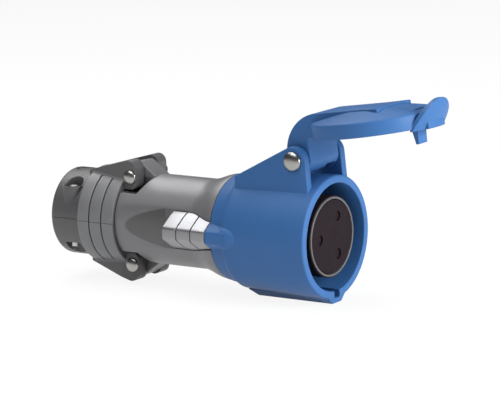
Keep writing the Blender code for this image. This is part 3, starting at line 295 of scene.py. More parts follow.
# Materials


class Field:
    # a shader socket that takes part in Python sums

    def __init__(self, maker, socket):
        self.maker, self.socket = maker, socket

    def sum(self, operation, first, second):
        return self.maker.node("ShaderNodeMath", {"operation": operation}, {0: first, 1: second})

    def __add__(self, other):
        return self.sum("ADD", self, other)

    def __radd__(self, other):
        return self.sum("ADD", other, self)

    def __sub__(self, other):
        return self.sum("SUBTRACT", self, other)

    def __rsub__(self, other):
        return self.sum("SUBTRACT", other, self)

    def __mul__(self, other):
        return self.sum("MULTIPLY", self, other)

    def __rmul__(self, other):
        return self.sum("MULTIPLY", other, self)


def feed(tree, socket, value):
    # links a socket to what it is given, or sets its own value
    source = value.socket if isinstance(value, Field) else value
    if isinstance(source, bpy.types.NodeSocket):
        tree.links.new(source, socket)
    else:
        socket.default_value = source


def makeNode(tree, kind, settings=None, sockets=None):
    # a node of any tree; a list feeds one socket from several sources
    made = tree.nodes.new(kind)
    for name, value in (settings or {}).items():
        setattr(made, name, value)
    for name, value in (sockets or {}).items():
        for source in value if isinstance(value, list) else [value]:
            feed(tree, made.inputs[name], source)
    return made


class Finish:
    # one material and the nodes that feed its shader

    def __init__(self, name, values):
        self.material = bpy.data.materials.new(name)
        self.material.use_nodes = True
        self.tree = self.material.node_tree
        self.shader = self.tree.nodes["Principled BSDF"]
        for socketName, value in values.items():
            self.shader.inputs[socketName].default_value = value
        self.place = self.node("ShaderNodeTexCoord", output="Object")

    def node(self, kind, settings=None, sockets=None, output=0):
        return Field(self, makeNode(self.tree, kind, settings, sockets).outputs[output])

    def noise(self, scale, detail, stretch=(1, 1, 1)):
        where = self.node("ShaderNodeMapping", {}, {"Vector": self.place, "Scale": stretch})
        return self.node(
            "ShaderNodeTexNoise", {}, {"Vector": where, "Scale": scale, "Detail": detail}, "Fac"
        )

    def part(self, axis):
        return self.node("ShaderNodeSeparateXYZ", {}, {"Vector": self.place}, axis)

    def ringed(self, sizes):
        # one inside a ring about the X axis, between two radii and two places along it
        across, upward = self.part("Y"), self.part("Z")
        square = across * across + upward * upward
        distance = self.node("ShaderNodeMath", {"operation": "SQRT"}, {0: square})
        inRing = self.between(distance, sizes["inner"], sizes["outer"], sizes["soft"])
        return inRing * self.between(self.part("X"), sizes["rear"], sizes["front"], sizes["soft"])

    def between(self, value, low, high, soft):
        # one from low to high, fading to nothing over the soft distance on both sides
        rise, fall = [
            self.node("ShaderNodeMapRange", {}, {"Value": value, "From Min": start, "From Max": start + soft})
            for start in (low - soft, high)
        ]
        return rise * (1 - fall)

    def colour(self, factor, first, second):
        # a Mix node has its colours in inputs 6 and 7 and gives them out at 2
        return self.node("ShaderNodeMix", {"data_type": "RGBA"}, {0: factor, 6: first, 7: second}, 2)

    def surface(self, colour, roughness, height, depth, edge):
        softEdge = self.node("ShaderNodeBevel", {"samples": 6}, {"Radius": edge})
        bump = self.node("ShaderNodeBump", {}, {
            "Normal": softEdge, "Height": height, "Distance": depth, "Strength": 1.0,
        })
        for name, value in (("Base Color", colour), ("Roughness", roughness), ("Normal", bump)):
            feed(self.tree, self.shader.inputs[name], value)
        return self.material


def shades(colour, variation):
    # a darker and a lighter form of a colour
    return [tuple(c * (1 + change) for c in colour) + (1,) for change in (-variation, variation)]


def mouldedNoise(finish):
    # slow cloudiness, a fine spark-eroded grain and faint rubbed patches
    cloud, fine = finish.noise(scale=90.0, detail=4.0), finish.noise(scale=2600.0, detail=2.0)
    return cloud, fine, finish.noise(scale=260.0, detail=5.0, stretch=(0.4, 1, 1))


def mouldedPlastic(name, colour, variation, roughness, grain, edge, specular):
    # satin moulding of one colour
    finish = Finish(name, {"Specular IOR Level": specular})
    cloud, fine, rubbed = mouldedNoise(finish)
    tone = finish.colour(cloud * 0.7 + fine * 0.3, *shades(colour, variation))
    return finish.surface(tone, rubbed * 0.16 + (roughness - 0.08), fine * 0.7 + cloud * 0.3, grain, edge)


def ringedPlastic(name, colours, ring, roughness, grain, edge, specular):
    # moulding with one ringed zone in a second colour, used for the clamp's lighter bands and for painted
    # shade on the thumb recesses
    finish = Finish(name, {"Specular IOR Level": specular})
    cloud, fine, rubbed = mouldedNoise(finish)
    tones = [finish.colour(cloud * 0.6 + fine * 0.4, *shades(colour, 0.08)) for colour in colours]
    tone = finish.colour(finish.ringed(ring), *tones)
    return finish.surface(tone, rubbed * 0.14 + (roughness - 0.07), fine * 0.8 + cloud * 0.2, grain, edge)


def plainMetal(name, colour, roughness, scratch=(1, 1, 1), edge=0.2 * mm, darkening=0.25):
    finish = Finish(name, {"Metallic": 1.0})
    cloud, lines = finish.noise(scale=300.0, detail=4.0), finish.noise(1500.0, 3.0, scratch)
    dark = tuple(c * (1 - darkening) for c in colour) + (1,)
    tone = finish.colour(cloud, dark, tuple(colour) + (1,))
    return finish.surface(tone, lines * 0.2 + (roughness - 0.1), lines, 0.008 * mm, edge)


# the clamp's ribbed bands are coloured lighter than its collar and ears
clampBands = inMetres({"inner": 19.9, "outer": 21.0, "rear": -112.7, "front": -94.5, "soft": 0.3})
# painted shade: the handle's thumb recess flats are coloured darker where they face away from the lamps
paintedThumbShade = inMetres({"inner": 12.0, "outer": 18.55, "rear": -92.5, "front": -54.5, "soft": 0.15})
finishes = {
    "blue": mouldedPlastic(
        "blue moulding", (0.035, 0.118, 0.305), variation=0.06, roughness=0.5, grain=0.012 * mm,
        edge=0.4 * mm, specular=0.22),
    # the handle's grey; its second, darker grey is painted shade on the thumb recesses
    "grey": ringedPlastic(
        "grey moulding", [(0.135, 0.135, 0.142), (0.062, 0.061, 0.063)], paintedThumbShade, roughness=0.4,
        grain=0.02 * mm, edge=0.4 * mm, specular=0.9),
    "clamp": ringedPlastic(
        "grey clamp moulding", [(0.085, 0.083, 0.087), (0.16, 0.162, 0.168)], clampBands, roughness=0.42,
        grain=0.02 * mm, edge=0.3 * mm, specular=0.5),
    "dark": mouldedPlastic(
        "dark insert", (0.013, 0.008, 0.011), variation=0.15, roughness=0.7, grain=0.02 * mm,
        edge=0.2 * mm, specular=0.1),
    "pale": mouldedPlastic(
        "pale ring", (0.085, 0.083, 0.085), variation=0.12, roughness=0.45, grain=0.02 * mm,
        edge=0.2 * mm, specular=0.5),
    "rubber": mouldedPlastic(
        "black rubber", (0.018, 0.018, 0.019), variation=0.2, roughness=0.75, grain=0.03 * mm,
        edge=0.2 * mm, specular=0.25),
    "silver": plainMetal("silver paint", (0.36, 0.36, 0.375), roughness=0.46, edge=0.3 * mm, darkening=0.08),
    "steel": plainMetal("plated steel", (0.46, 0.45, 0.435), roughness=0.3, scratch=(1, 0.2, 1)),
    "screws": plainMetal("bright screws", (0.8, 0.79, 0.77), roughness=0.42, scratch=(1, 0.2, 1)),
    "brass": plainMetal("turned brass", (0.72, 0.52, 0.22), roughness=0.32, scratch=(0.2, 1, 1)),
}
print("materials made")


# Front housing: mouth, barrel, key rib, hinge ears and the bosses in front of the sliders

housing = inMetres({
    "rimX": 2.0, "rimRadius": 25.25, "rimRound": 0.8, "mouthRadius": 22.0, "mouthRound": 0.5,
    "rearX": -36.6, "rearRadius": 24.5, "neckX": -38.6, "neckRadius": 23.2,
    "jointX": -44.5, "jointRadius": 22.2, "floorX": -30.0, "floorRearX": -33.0,
    "faceRadius": 17.0, "rearBore": 20.2, "keyHalf": 3.4, "keyBaseHalf": 6.8, "keyDrop": 27.0,
    "keyRoot": 23.8, "wedgeHalf": 10.0, "neckRound": 1.2, "keyChamfer": 3.2, "keywayHalf": 2.0,
    "keywayDepth": 2.9, "keywayLength": 30.0,
})
hinge = inMetres({
    "x": -8.5, "z": 32.35, "earOuter": 15.2, "earThickness": 3.5, "tipRadius": 5.9,
    "earRearZ": 24.2, "earFrontX": -1.0, "earRootZ": 17.0, "pinRadius": 1.75,
    "headRadius": 4.0, "headHeight": 1.7, "boreHalf": 20.0,
})
earLean = math.radians(6)
slider = inMetres({
    "baseY": 17.0, "baseHalf": 7.8, "shoulderY": 20.0, "shoulderHalf": 6.3, "ridgeY": 26.0,
    "ridgeHalf": 2.4, "ridgeRound": 1.6, "rearX": -65.5, "frontX": -44.8, "stroke": 4.0,
    "grooveWidth": 0.55, "grooveDepth": 0.55, "noseX": -29.3, "noseDepth": 3.6,
    "noseHeight": 5.0, "lugFrontX": -48.6, "lugLength": 3.0, "lugHalf": 1.5, "lugDepth": 2.4,
})
sliderGrooves = [-58.6 * mm, -51.7 * mm]


def sliderSection(grow=0.0, steps=5):
    base, shoulder, ridge = slider["baseY"] - grow, slider["shoulderY"] + grow, slider["ridgeY"] + grow
    half = [slider[k] + grow for k in ("baseHalf", "shoulderHalf", "ridgeHalf")]
    soft = slider["ridgeRound"]
    return rounded([
        (base, -half[0], 0), (shoulder, -half[1], 3 * soft), (ridge, -half[2], soft),
        (ridge, half[2], soft), (shoulder, half[1], 3 * soft), (base, half[0], 0),
    ], steps)


def sliderPrism(name, side, rear, front, grow=0.0, bevel=0.0):
    outline = [(side * a, b) for a, b in sliderSection(grow)]
    return plate(name, outline, rear, front, "YZ", bevel)


def sideBoss(side):
    boss = sliderPrism(f"boss{side}", side, housing["jointX"], housing["rearX"] + reach)
    length = slider["noseX"] - housing["rearX"]
    nose = turned(f"nose{side}", [
        (housing["rearX"] + length * math.sin(t), slider["noseHeight"] * math.cos(t))
        for t in spread(math.pi / 2, 0, 12)
    ] + [(housing["rearX"] - reach, slider["noseHeight"]), (housing["rearX"] - reach, 0)], 64)
    nose.scale = (1, slider["noseDepth"] / slider["noseHeight"], 1)
    nose.location = (0, side * (slider["ridgeY"] - slider["noseDepth"]), 0)
    join(boss, nose)
    return boss


def earOutline():
    tip = (hinge["x"], hinge["z"])
    rear = (housing["rearX"], hinge["earRearZ"])
    span = math.hypot(tip[0] - rear[0], tip[1] - rear[1])
    slope = math.atan2(tip[1] - rear[1], tip[0] - rear[0]) + math.asin(hinge["tipRadius"] / span)
    last = earLean - math.pi / 2
    arcPoints = [
        (tip[0] - hinge["tipRadius"] * math.sin(t), tip[1] + hinge["tipRadius"] * math.cos(t))
        for t in spread(slope, last, 28)
    ]
    return [(rear[0], hinge["earRootZ"]), rear] + arcPoints + [(hinge["earFrontX"], hinge["earRootZ"])]


def buildHousing():
    h = housing
    shell = turned("frontHousingMesh", rounded([
        (h["rimX"], 0, 0), (h["rimX"], h["rimRadius"], h["rimRound"]),
        (h["rearX"], h["rearRadius"], h["neckRound"]), (h["neckX"], h["neckRadius"], h["neckRound"]),
        (h["jointX"], h["jointRadius"], 0.2 * mm), (h["jointX"], 0, 0),
    ], 5))
    for side in (-1, 1):
        low, high = ordered(side, hinge["earOuter"] - hinge["earThickness"], hinge["earOuter"])
        join(shell, plate(f"ear{side}", earOutline(), low, high, bevel=0.45 * mm), sideBoss(side))
    rib = plate("keyRib", rounded([
        (-h["keyBaseHalf"], -h["keyRoot"], 0), (-h["keyHalf"], -h["keyDrop"], 0.8 * mm),
        (h["keyHalf"], -h["keyDrop"], 0.8 * mm), (h["keyBaseHalf"], -h["keyRoot"], 0),
    ], 4), h["rearX"], h["rimX"] - 0.1 * mm, "YZ", 0.3 * mm)
    cut(rib, plate("keyWedge", [
        (h["rearX"] - reach, -h["keyDrop"] - reach),
        (h["rearX"] + h["keyChamfer"] + reach, -h["keyDrop"] - reach),
        (h["rearX"] - reach, -h["keyDrop"] + h["keyChamfer"] + reach),
    ], -h["wedgeHalf"], h["wedgeHalf"]))
    join(shell, rib)
    soft = h["mouthRound"]
    hollow = turned("housingHollow", [
        (h["rimX"] + reach, 0), (h["rimX"] + reach, h["mouthRadius"] + 2 * soft),
    ] + [
        (h["rimX"] - soft * (1 - math.cos(t)), h["mouthRadius"] + soft * (1 - math.sin(t)))
        for t in spread(0, math.pi / 2, 5)
    ] + [
        (h["floorX"], h["mouthRadius"]), (h["floorX"], h["faceRadius"]), (h["floorRearX"], h["faceRadius"]),
        (h["floorRearX"], h["rearBore"]), (h["jointX"] - reach, h["rearBore"]), (h["jointX"] - reach, 0),
    ])
    keyway = box(
        "keyway", (h["rimX"] - h["keywayLength"], -h["keywayHalf"], -h["mouthRadius"] - h["keywayDepth"]),
        (h["rimX"] + reach, h["keywayHalf"], -h["mouthRadius"] + 2 * reach), 0.4 * mm,
    )
    pinHole = rodAcross("pinHole", hinge["x"], hinge["z"], hinge["boreHalf"], hinge["pinRadius"] + gap)
    cut(shell, hollow, keyway, pinHole)
    finishPiece(shell, "body", "blue", ["front_housing"])


buildHousing()
print("front housing built")


# Lid: built flat in its own directions, along from the hinge and rise square to it, then swung open

lidSizes = inMetres({
    "radius": 26.1, "bandLow": 8.36, "bandHigh": 13.9, "bandRound": 0.8,
    "crownRadius": 12.0, "crownRise": 17.3, "hollowRise": 14.6, "hollowRadius": 18.5,
    "reliefRise": 18.0, "reliefEnd": 9.2, "reliefEndHalf": 13.5,
    "dipStart": 9.4, "dipStartHalf": 6.0, "dipHalf": 13.0, "dipDrop": 3.4,
    "rimRadius": 25.3, "seatRise": 11.55, "seatRadius": 21.4, "armHalf": 10.6,
    "armRadius": 16.0, "armRear": 5.2, "armReach": 14.0, "knuckle": 5.8,
    "tabLow": 26.2, "tabHigh": 30.6, "tabTip": 19.1, "tabFoot": 7.6, "tabWall": 1.8, "tabHalf": 12.3,
    "coverTop": 11.6, "coverRadius": 28.0, "coverHalf": 6.3,
    "hookRadius": 20.4, "hookLength": 3.2, "hookHalf": 3.3, "hookTip": 1.6, "hookTaper": 1.4,
    "boreHalf": 16.0, "pocketLow": 3.0, "pocketHigh": 9.6, "pocketRadius": 4.3,
})
lidSeal = inMetres({"outer": 25.0, "inner": 21.8, "height": 1.2})
lidTilt = math.radians(8.3)
lidPlace = Matrix.Translation((hinge["x"], 0, hinge["z"])) @ Matrix.Rotation(-lidTilt, 4, "Y")
discPlace = lidPlace @ Matrix.Translation((hinge["z"], 0, 0))


def placed(piece, place):
    piece.matrix_world = place
    return piece


def lidArm():
    s = lidSizes
    centre = (s["armRadius"] - s["armRear"], s["reliefRise"] - s["armRadius"])
    bend = [
        (centre[0] - s["armRadius"] * math.cos(t), centre[1] + s["armRadius"] * math.sin(t))
        for t in spread(0, math.pi / 2, 24)
    ]
    under = [
        (s["knuckle"] * math.cos(t), -s["knuckle"] * math.sin(t))
        for t in spread(0, math.pi, 28)
    ]
    outline = bend + [(s["armReach"], s["reliefRise"]), (s["armReach"], s["bandLow"])]
    outline += [(s["knuckle"], s["bandLow"])] + under
    return placed(plate("lidArm", outline, -s["armHalf"], s["armHalf"], bevel=0.5 * mm), lidPlace)


def lidTab():
    # a lip turned about the disc, flaring out of the band, trimmed to half an ellipse
    s = lidSizes
    rise, lean, steps = s["tabTip"] - s["tabFoot"], s["tabHigh"] - s["tabLow"], 20
    inside, foot = s["radius"] - reach, s["bandLow"] + s["tabWall"] / 2
    outer = [
        (s["tabFoot"] + rise * t, s["tabLow"] + lean * math.sin(math.pi / 2 * t))
        for t in spread(1, 0, steps)
    ]
    flare = s["tabHigh"] - s["tabWall"] - inside
    inner = [
        (foot + (s["tabTip"] - foot) * t, inside + flare * math.sin(math.pi / 2 * t))
        for t in spread(0, 1, steps)
    ]
    lip = turned("tabLip", outer + [(s["tabFoot"], s["rimRadius"])] + inner, 160, True, "Z")
    trim = [
        (s["tabHalf"] * math.sin(t), s["tabFoot"] - reach + (rise + reach) * math.cos(t))
        for t in spread(-math.pi / 2, math.pi / 2, 36)
    ]
    keep(lip, plate("tabTrim", trim, 0, s["tabHigh"] + reach, "YZ"))
    settle(lip)
    addBevel(lip, 0.4 * mm, 3, 50)
    return placed(lip, discPlace)


def ribCover():
    # the foot of the tab that stands clear of the key rib, and the notch behind it
    s = lidSizes
    cover = turned("ribCover", rounded([
        (s["coverTop"], s["coverRadius"], 1.0 * mm), (s["tabFoot"], s["coverRadius"], 0.4 * mm),
        (s["tabFoot"], s["rimRadius"], 0), (s["coverTop"], s["rimRadius"], 0),
    ], 5), 160, True, "Z")
    half = s["coverHalf"]
    trim = box("coverTrim", (0, -half, s["tabFoot"] - reach), (s["tabHigh"], half, s["coverTop"] + reach))
    keep(cover, trim)
    settle(cover)
    addBevel(cover, 0.3 * mm, 2, 50)
    wide, narrow = housing["keyBaseHalf"] + gap, housing["keyHalf"] + 2 * gap
    notch = plate("ribNotch", [
        (housing["mouthRadius"], wide), (housing["mouthRadius"] + 2 * mm, wide),
        (housing["keyDrop"] + gap, narrow), (housing["keyDrop"] + gap, -narrow),
        (housing["mouthRadius"] + 2 * mm, -wide), (housing["mouthRadius"], -wide),
    ], s["tabFoot"] - reach, housing["rimX"] - hinge["x"] + gap, "XY")
    return placed(cover, discPlace), placed(notch, discPlace)


def lidHook():
    s = lidSizes
    tip = hinge["z"] + s["hookRadius"]
    outline = [
        (tip - s["hookLength"], s["hollowRise"] + reach), (tip, s["hollowRise"] + reach),
        (tip, s["bandLow"]), (tip - 0.4 * mm, s["hookTip"]),
        (tip - s["hookLength"] + s["hookTaper"], s["hookTip"]), (tip - s["hookLength"], s["bandLow"]),
    ]
    return placed(plate("lidHook", outline, -s["hookHalf"], s["hookHalf"], bevel=0.25 * mm), lidPlace)


def lidRelief():
    # the raised field that carries the arm's top on across the lid and ends in a step
    s = lidSizes
    start, end = s["armReach"] - reach, hinge["z"] + s["reliefEnd"]
    outline = rounded([
        (start, -s["armHalf"], 0), (hinge["z"], -s["armHalf"], 8 * mm), (end, -s["reliefEndHalf"], 0.8 * mm),
        (end, s["reliefEndHalf"], 0.8 * mm), (hinge["z"], s["armHalf"], 8 * mm), (start, s["armHalf"], 0),
    ], 8)
    return placed(plate("lidRelief", outline, s["hollowRise"], s["reliefRise"], "XY", 0.45 * mm), lidPlace)


def fingerDip():
    # the slope behind the tab that leaves room for a finger
    s = lidSizes
    start, end = hinge["z"] + s["dipStart"], hinge["z"] + s["radius"] + reach
    above = s["reliefRise"] + reach
    dip = placed(plate("fingerDip", [
        (start, s["crownRise"]), (end, s["crownRise"] - s["dipDrop"]), (end, above), (start, above),
    ], -s["dipHalf"], s["dipHalf"]), lidPlace)
    keep(dip, placed(plate("fingerDipPlan", [
        (start, s["dipStartHalf"]), (end, s["dipHalf"]), (end, -s["dipHalf"]), (start, -s["dipStartHalf"]),
    ], s["bandLow"], above + reach, "XY"), lidPlace))
    return dip


def buildLid():
    s = lidSizes
    cap = placed(turned("lidMesh", rounded([
        (s["crownRise"], 0, 0), (s["crownRise"], s["crownRadius"], 3.0 * mm),
        (s["bandHigh"] + s["bandRound"] / 2, s["radius"] - 0.1 * mm, s["bandRound"]),
        (s["bandLow"], s["radius"], 0.25 * mm), (s["bandLow"], 0, 0),
    ], 5), 160, False, "Z"), discPlace)
    cut(cap, fingerDip())
    cover, notch = ribCover()
    join(cap, lidArm(), lidRelief(), lidTab(), cover)
    hollow = placed(turned("lidHollow", [
        (s["hollowRise"], 0), (s["hollowRise"], s["hollowRadius"]), (s["seatRise"], s["seatRadius"]),
        (s["seatRise"], s["rimRadius"]), (s["bandLow"] - reach, s["rimRadius"]), (s["bandLow"] - reach, 0),
    ], 160, False, "Z"), discPlace)
    cut(cap, hollow, notch)
    join(cap, lidHook())
    x, z, low, high, radius = hinge["x"], hinge["z"], s["pocketLow"], s["pocketHigh"], s["pocketRadius"]
    mouth = box("springMouth", (-radius, low, -s["knuckle"] - reach), (radius, high, 0))
    cut(
        cap, rodAcross("knuckleBore", x, z, s["boreHalf"], hinge["pinRadius"] + gap),
        rod("springPocket", (x, low, z), (x, high, z), radius), placed(mouth, lidPlace),
    )
    finishPiece(cap, "lid", "blue", ["lid"])


def buildLidSeal():
    s = lidSeal
    low = housing["rimX"] - hinge["x"] + gap / 2
    high = low + s["height"]
    seal = placed(turned("lidSealMesh", rounded([
        (high, s["outer"], 0.3 * mm), (low, s["outer"], 0.5 * mm),
        (low, s["inner"], 0.5 * mm), (high, s["inner"], 0.3 * mm),
    ], 4), 144, True, "Z"), discPlace)
    finishPiece(seal, "lid", "rubber", ["lid_seal"])


buildLid()
buildLidSeal()
print("lid built")


# Contact carrier, face ring and shutter

insert = inMetres({
    "faceRadius": 16.7, "ringRadius": 16.3, "ringWidth": 0.95, "ringDepth": 2.6, "lipBack": 0.2,
    "ringProud": 0.3, "shutterThickness": 0.4, "postRadius": 2.2, "postRear": -3.0, "postSlit": 0.08,
    "flangeFront": -33.3, "flangeRear": -36.1, "flangeRadius": 19.8, "blockRadius": 15.9, "blockRear": -42.5,
    "circle": 9.0, "poleRadius": 2.5, "earthRadius": 3.5, "poleHole": 2.1, "earthHole": 2.2, "entryWeb": 0.5,
    "contactWall": 0.9, "screwX": -39.0, "screwHead": 2.4,
})
screwReach = 2.2  # the outer end of a terminal screw's bore, in radii of the contacts' circle
contactAngles = {"earth": -90, "line": 30, "neutral": 150}
shutterTurn = 30


def contactPlace(name, turn=0.0):
    angle = math.radians(contactAngles[name] + turn)
    return insert["circle"] * math.cos(angle), insert["circle"] * math.sin(angle)


def buildInsert():
    s = insert
    seat, lip = s["ringRadius"] - s["ringWidth"] - gap, s["ringRadius"] + gap / 2
    under = -s["shutterThickness"] - gap
    web = under - s["entryWeb"]
    body = turned("carrierMesh", [
        (under, 0), (under, seat), (-s["ringDepth"] - gap, seat), (-s["ringDepth"] - gap, lip),
        (-s["lipBack"], lip), (-s["lipBack"], s["faceRadius"]),
        (s["flangeFront"], s["faceRadius"]), (s["flangeFront"], s["flangeRadius"]),
        (s["flangeRear"], s["flangeRadius"]), (s["flangeRear"], s["blockRadius"]),
        (s["blockRear"], s["blockRadius"]), (s["blockRear"], 0),
    ])
    join(body, rodAlong("post", 0, 0, s["postRear"], 0, s["postRadius"]))
    holes = {name: s["earthHole"] if name == "earth" else s["poleHole"] for name in contactAngles}
    for name, hole in holes.items():
        y, z = contactPlace(name)
        bore = (s["earthRadius"] if name == "earth" else s["poleRadius"]) + s["contactWall"] + gap
        screwEnd = (s["screwX"], screwReach * y, screwReach * z)
        cut(
            body, rodAlong(f"entry{name}", y, z, reach, web - reach, hole),
            rodAlong(f"bore{name}", y, z, web, s["blockRear"] - reach, bore),
            rod(f"screwBore{name}", (s["screwX"], y, z), screwEnd, s["screwHead"] + gap),
        )
    finishPiece(body, "body", "dark", ["contact_carrier"])
    ring = turned("faceRingMesh", rounded([
        (s["ringProud"], s["ringRadius"], 0.3 * mm), (-s["ringDepth"], s["ringRadius"], 0),
        (-s["ringDepth"], s["ringRadius"] - s["ringWidth"], 0),
        (s["ringProud"], s["ringRadius"] - s["ringWidth"], 0.3 * mm),
    ], 5), 160, True)
    finishPiece(ring, "body", "pale", ["face_ring"])
    inner, back = s["postRadius"] + s["postSlit"], -s["shutterThickness"]
    disc = turned("shutterMesh", rounded([
        (0, inner, 0), (0, seat, 0.2 * mm), (back, seat, 0), (back, inner, 0),
    ], 3), 144, True)
    for name, hole in holes.items():
        y, z = contactPlace(name, shutterTurn)
        cut(disc, rodAlong(f"shutterHole{name}", y, z, reach, back - reach, hole))
    finishPiece(disc, "shutter", "dark", ["shutter"])


buildInsert()
print("insert built")


# Handle and its two release sliders

grip = inMetres({
    "radius": 18.8, "frontRadius": 22.0, "flareEnd": -58.0, "rearX": -94.4, "tailRadius": 16.6,
    "tailRear": -111.4, "spigotFront": -38.5, "spigotRadius": 19.9, "boreRadius": 12.6,
    "finHalf": 4.8, "finTop": 24.4, "finFront": -90.75, "finFoot": -81.9, "finRear": -100.7,
    "finRearZ": 22.2, "recessZ": 12.4, "recessFront": -86.4, "recessEnd": -83.0,
    "thumbTip": -91.0, "thumbFlat": 1.0, "pinX": -91.3, "pinZ": 18.5, "pinBore": 2.2, "pinBoreHalf": 11.0,
    "finSink": 2.0, "finOverlap": 0.8, "lugGrooveHalf": 1.8, "lugTravel": 13.0, "hollowRadius": 16.4,
    "hollowEnd": -43.0, "stepRadius": 14.8, "stepX": -45.0, "boreStart": -50.0,
})


def flareLine(steps=24):
    front = housing["jointX"] - gap
    points = []
    for t in spread(0, 1, steps):
        ease = t * t * (3 - 2 * t)
        points.append((
            front + (grip["flareEnd"] - front) * t,
            grip["frontRadius"] + (grip["radius"] - grip["frontRadius"]) * ease,
        ))
    return points


def finBlade(sign):
    g = grip
    root = g["tailRadius"] - g["finSink"]
    outline = rounded([
        (g["finFront"], g["finTop"], 2.0 * mm), (g["finFoot"], g["radius"] - g["finOverlap"], 0),
        (g["finFoot"], root, 0), (g["finRear"], root, 0), (g["finRear"], g["finRearZ"], 0),
    ], 6)
    return plate(f"fin{sign}", mirrored(outline, sign), -g["finHalf"], g["finHalf"], bevel=0.4 * mm)


def earRecess(sign, side):
    g = grip
    far = g["radius"] + 3 * mm
    outline = [
        (g["rearX"] - reach, g["recessZ"]), (g["recessFront"], g["recessZ"]), (g["recessEnd"], g["radius"]),
        (g["recessEnd"], far), (g["rearX"] - reach, far),
    ]
    low, high = ordered(side, g["finHalf"], g["radius"])
    return plate(f"recess{sign}{side}", mirrored(outline, sign), low, high)


def thumbRecess(side):
    g = grip
    floor = slider["baseY"] - gap
    flatRear = slider["rearX"] - slider["stroke"] - g["thumbFlat"]
    outer, past = g["radius"] + 2 * reach, 2 * reach
    slope = (g["radius"] - floor) / (flatRear - g["thumbTip"])
    outline = [
        (slider["rearX"], floor), (flatRear, floor),
        (g["thumbTip"] - past, g["radius"] + past * slope), (g["thumbTip"] - past, outer),
        (slider["rearX"], outer),
    ]
    return plate(f"thumb{side}", mirrored(outline, side), -outer, outer, "XY")


def buildHandle():
    g = grip
    body = turned("handleMesh", [
        (g["spigotFront"], 0), (g["spigotFront"], g["spigotRadius"]),
        (housing["jointX"] - gap, g["spigotRadius"]),
    ] + flareLine() + [
        (g["rearX"], g["radius"]), (g["rearX"], g["tailRadius"]), (g["tailRear"], g["tailRadius"]),
        (g["tailRear"], 0),
    ])
    join(body, finBlade(1), finBlade(-1))
    for sign in (1, -1):
        for side in (-1, 1):
            cut(body, earRecess(sign, side))
    trackRear = slider["rearX"] - slider["stroke"] - gap
    grooveRear = slider["lugFrontX"] - slider["lugLength"] - g["lugTravel"]
    for side in (-1, 1):
        track = sliderPrism(f"track{side}", side, trackRear, housing["jointX"] + reach, gap)
        cut(body, track, thumbRecess(side))
        low, high = ordered(side, slider["baseY"] - slider["lugDepth"] - gap, slider["baseY"])
        cut(body, box(
            f"lugGroove{side}", (grooveRear, low, -g["lugGrooveHalf"]),
            (slider["lugFrontX"] + gap, high, g["lugGrooveHalf"]),
        ))
        cut(body, rodAcross(f"finBore{side}", g["pinX"], side * g["pinZ"], g["pinBoreHalf"], g["pinBore"]))
    cut(body, turned("handleHollow", [
        (g["spigotFront"] + reach, 0), (g["spigotFront"] + reach, g["hollowRadius"]),
        (g["hollowEnd"], g["hollowRadius"]), (g["stepX"], g["stepRadius"]), (g["boreStart"], g["boreRadius"]),
        (g["tailRear"] - reach, g["boreRadius"]), (g["tailRear"] - reach, 0),
    ]))
    finishPiece(body, "body", "grey", ["handle"])


def buildSlider(side, name):
    s = slider
    body = sliderPrism(f"sliderMesh{name}", side, s["rearX"], s["frontX"], 0.0, 0.35 * mm)
    wide, half = s["grooveWidth"], s["grooveWidth"] / 2
    for x in sliderGrooves:
        groove = sliderPrism(f"groove{side}{x}", side, x - half, x + half, reach)
        cut(groove, sliderPrism(f"core{side}{x}", side, x - wide, x + wide, -s["grooveDepth"]))
        cut(body, groove)
    low, high = ordered(side, s["baseY"] - s["lugDepth"], s["baseY"] + 2 * reach)
    lugRear = s["lugFrontX"] - s["lugLength"]
    join(body, box(f"lug{side}", (lugRear, low, -s["lugHalf"]), (s["lugFrontX"], high, s["lugHalf"])))
    finishPiece(body, f"slider_{name}", "silver", [f"slider_{name}"])


buildHandle()
buildSlider(-1, "left")
buildSlider(1, "right")
print("handle and sliders built")


# Cable clamp: two mirrored halves with ribbed bands, hinge ears and screw bosses

clamp = inMetres({
    "frontX": -94.7, "rearX": -128.4, "splitGap": 0.14, "bandRadius": 20.4, "bandLength": 5.6,
    "bandGroove": 0.6, "bandGrooveDepth": 1.0, "collarRadius": 18.4,
    "collarRound": 2.0, "holeRadius": 9.0, "rearLip": 2.6, "grommetRadius": 10.2, "grommetWall": 2.9,
    "earOuter": 11.3, "earTopZ": 26.6, "earRearZ": 19.45, "earFrontX": -88.5, "earRearX": -114.6,
    "earLowZ": 13.3, "earRearY": 7.8, "earBendX": -97.0, "pinX": -91.3, "pinZ": 18.5, "pinRadius": 1.9,
    "screwX": -119.5, "screwY": 12.7, "seatZ": 12.0, "bossRadius": 4.8, "bossTop": 13.3,
    "nutSeatZ": 11.0, "nutHeight": 2.2, "pocketRadius": 4.1, "shankRadius": 1.5,
    "dishX": -122.5, "dishRadius": 3.9, "dishDepth": 0.8, "slotLow": 6.0, "holeChamfer": 0.5,
})
bandCount = 3


def clampLine():
    c = clamp
    corners = [(c["frontX"], 0, 0)]
    x = c["frontX"]
    for number in range(bandCount):
        rear = x - c["bandLength"]
        corners += [(x, c["bandRadius"], 0.2 * mm), (rear, c["bandRadius"], 0.2 * mm)]
        if number < bandCount - 1:
            floor = c["bandRadius"] - c["bandGrooveDepth"]
            x = rear - c["bandGroove"]
            corners += [(rear, floor, 0), (x, floor, 0)]
    corners += [
        (rear, c["collarRadius"], 0), (c["rearX"], c["collarRadius"], c["collarRound"]), (c["rearX"], 0, 0),
    ]
    return rounded(corners, 5)


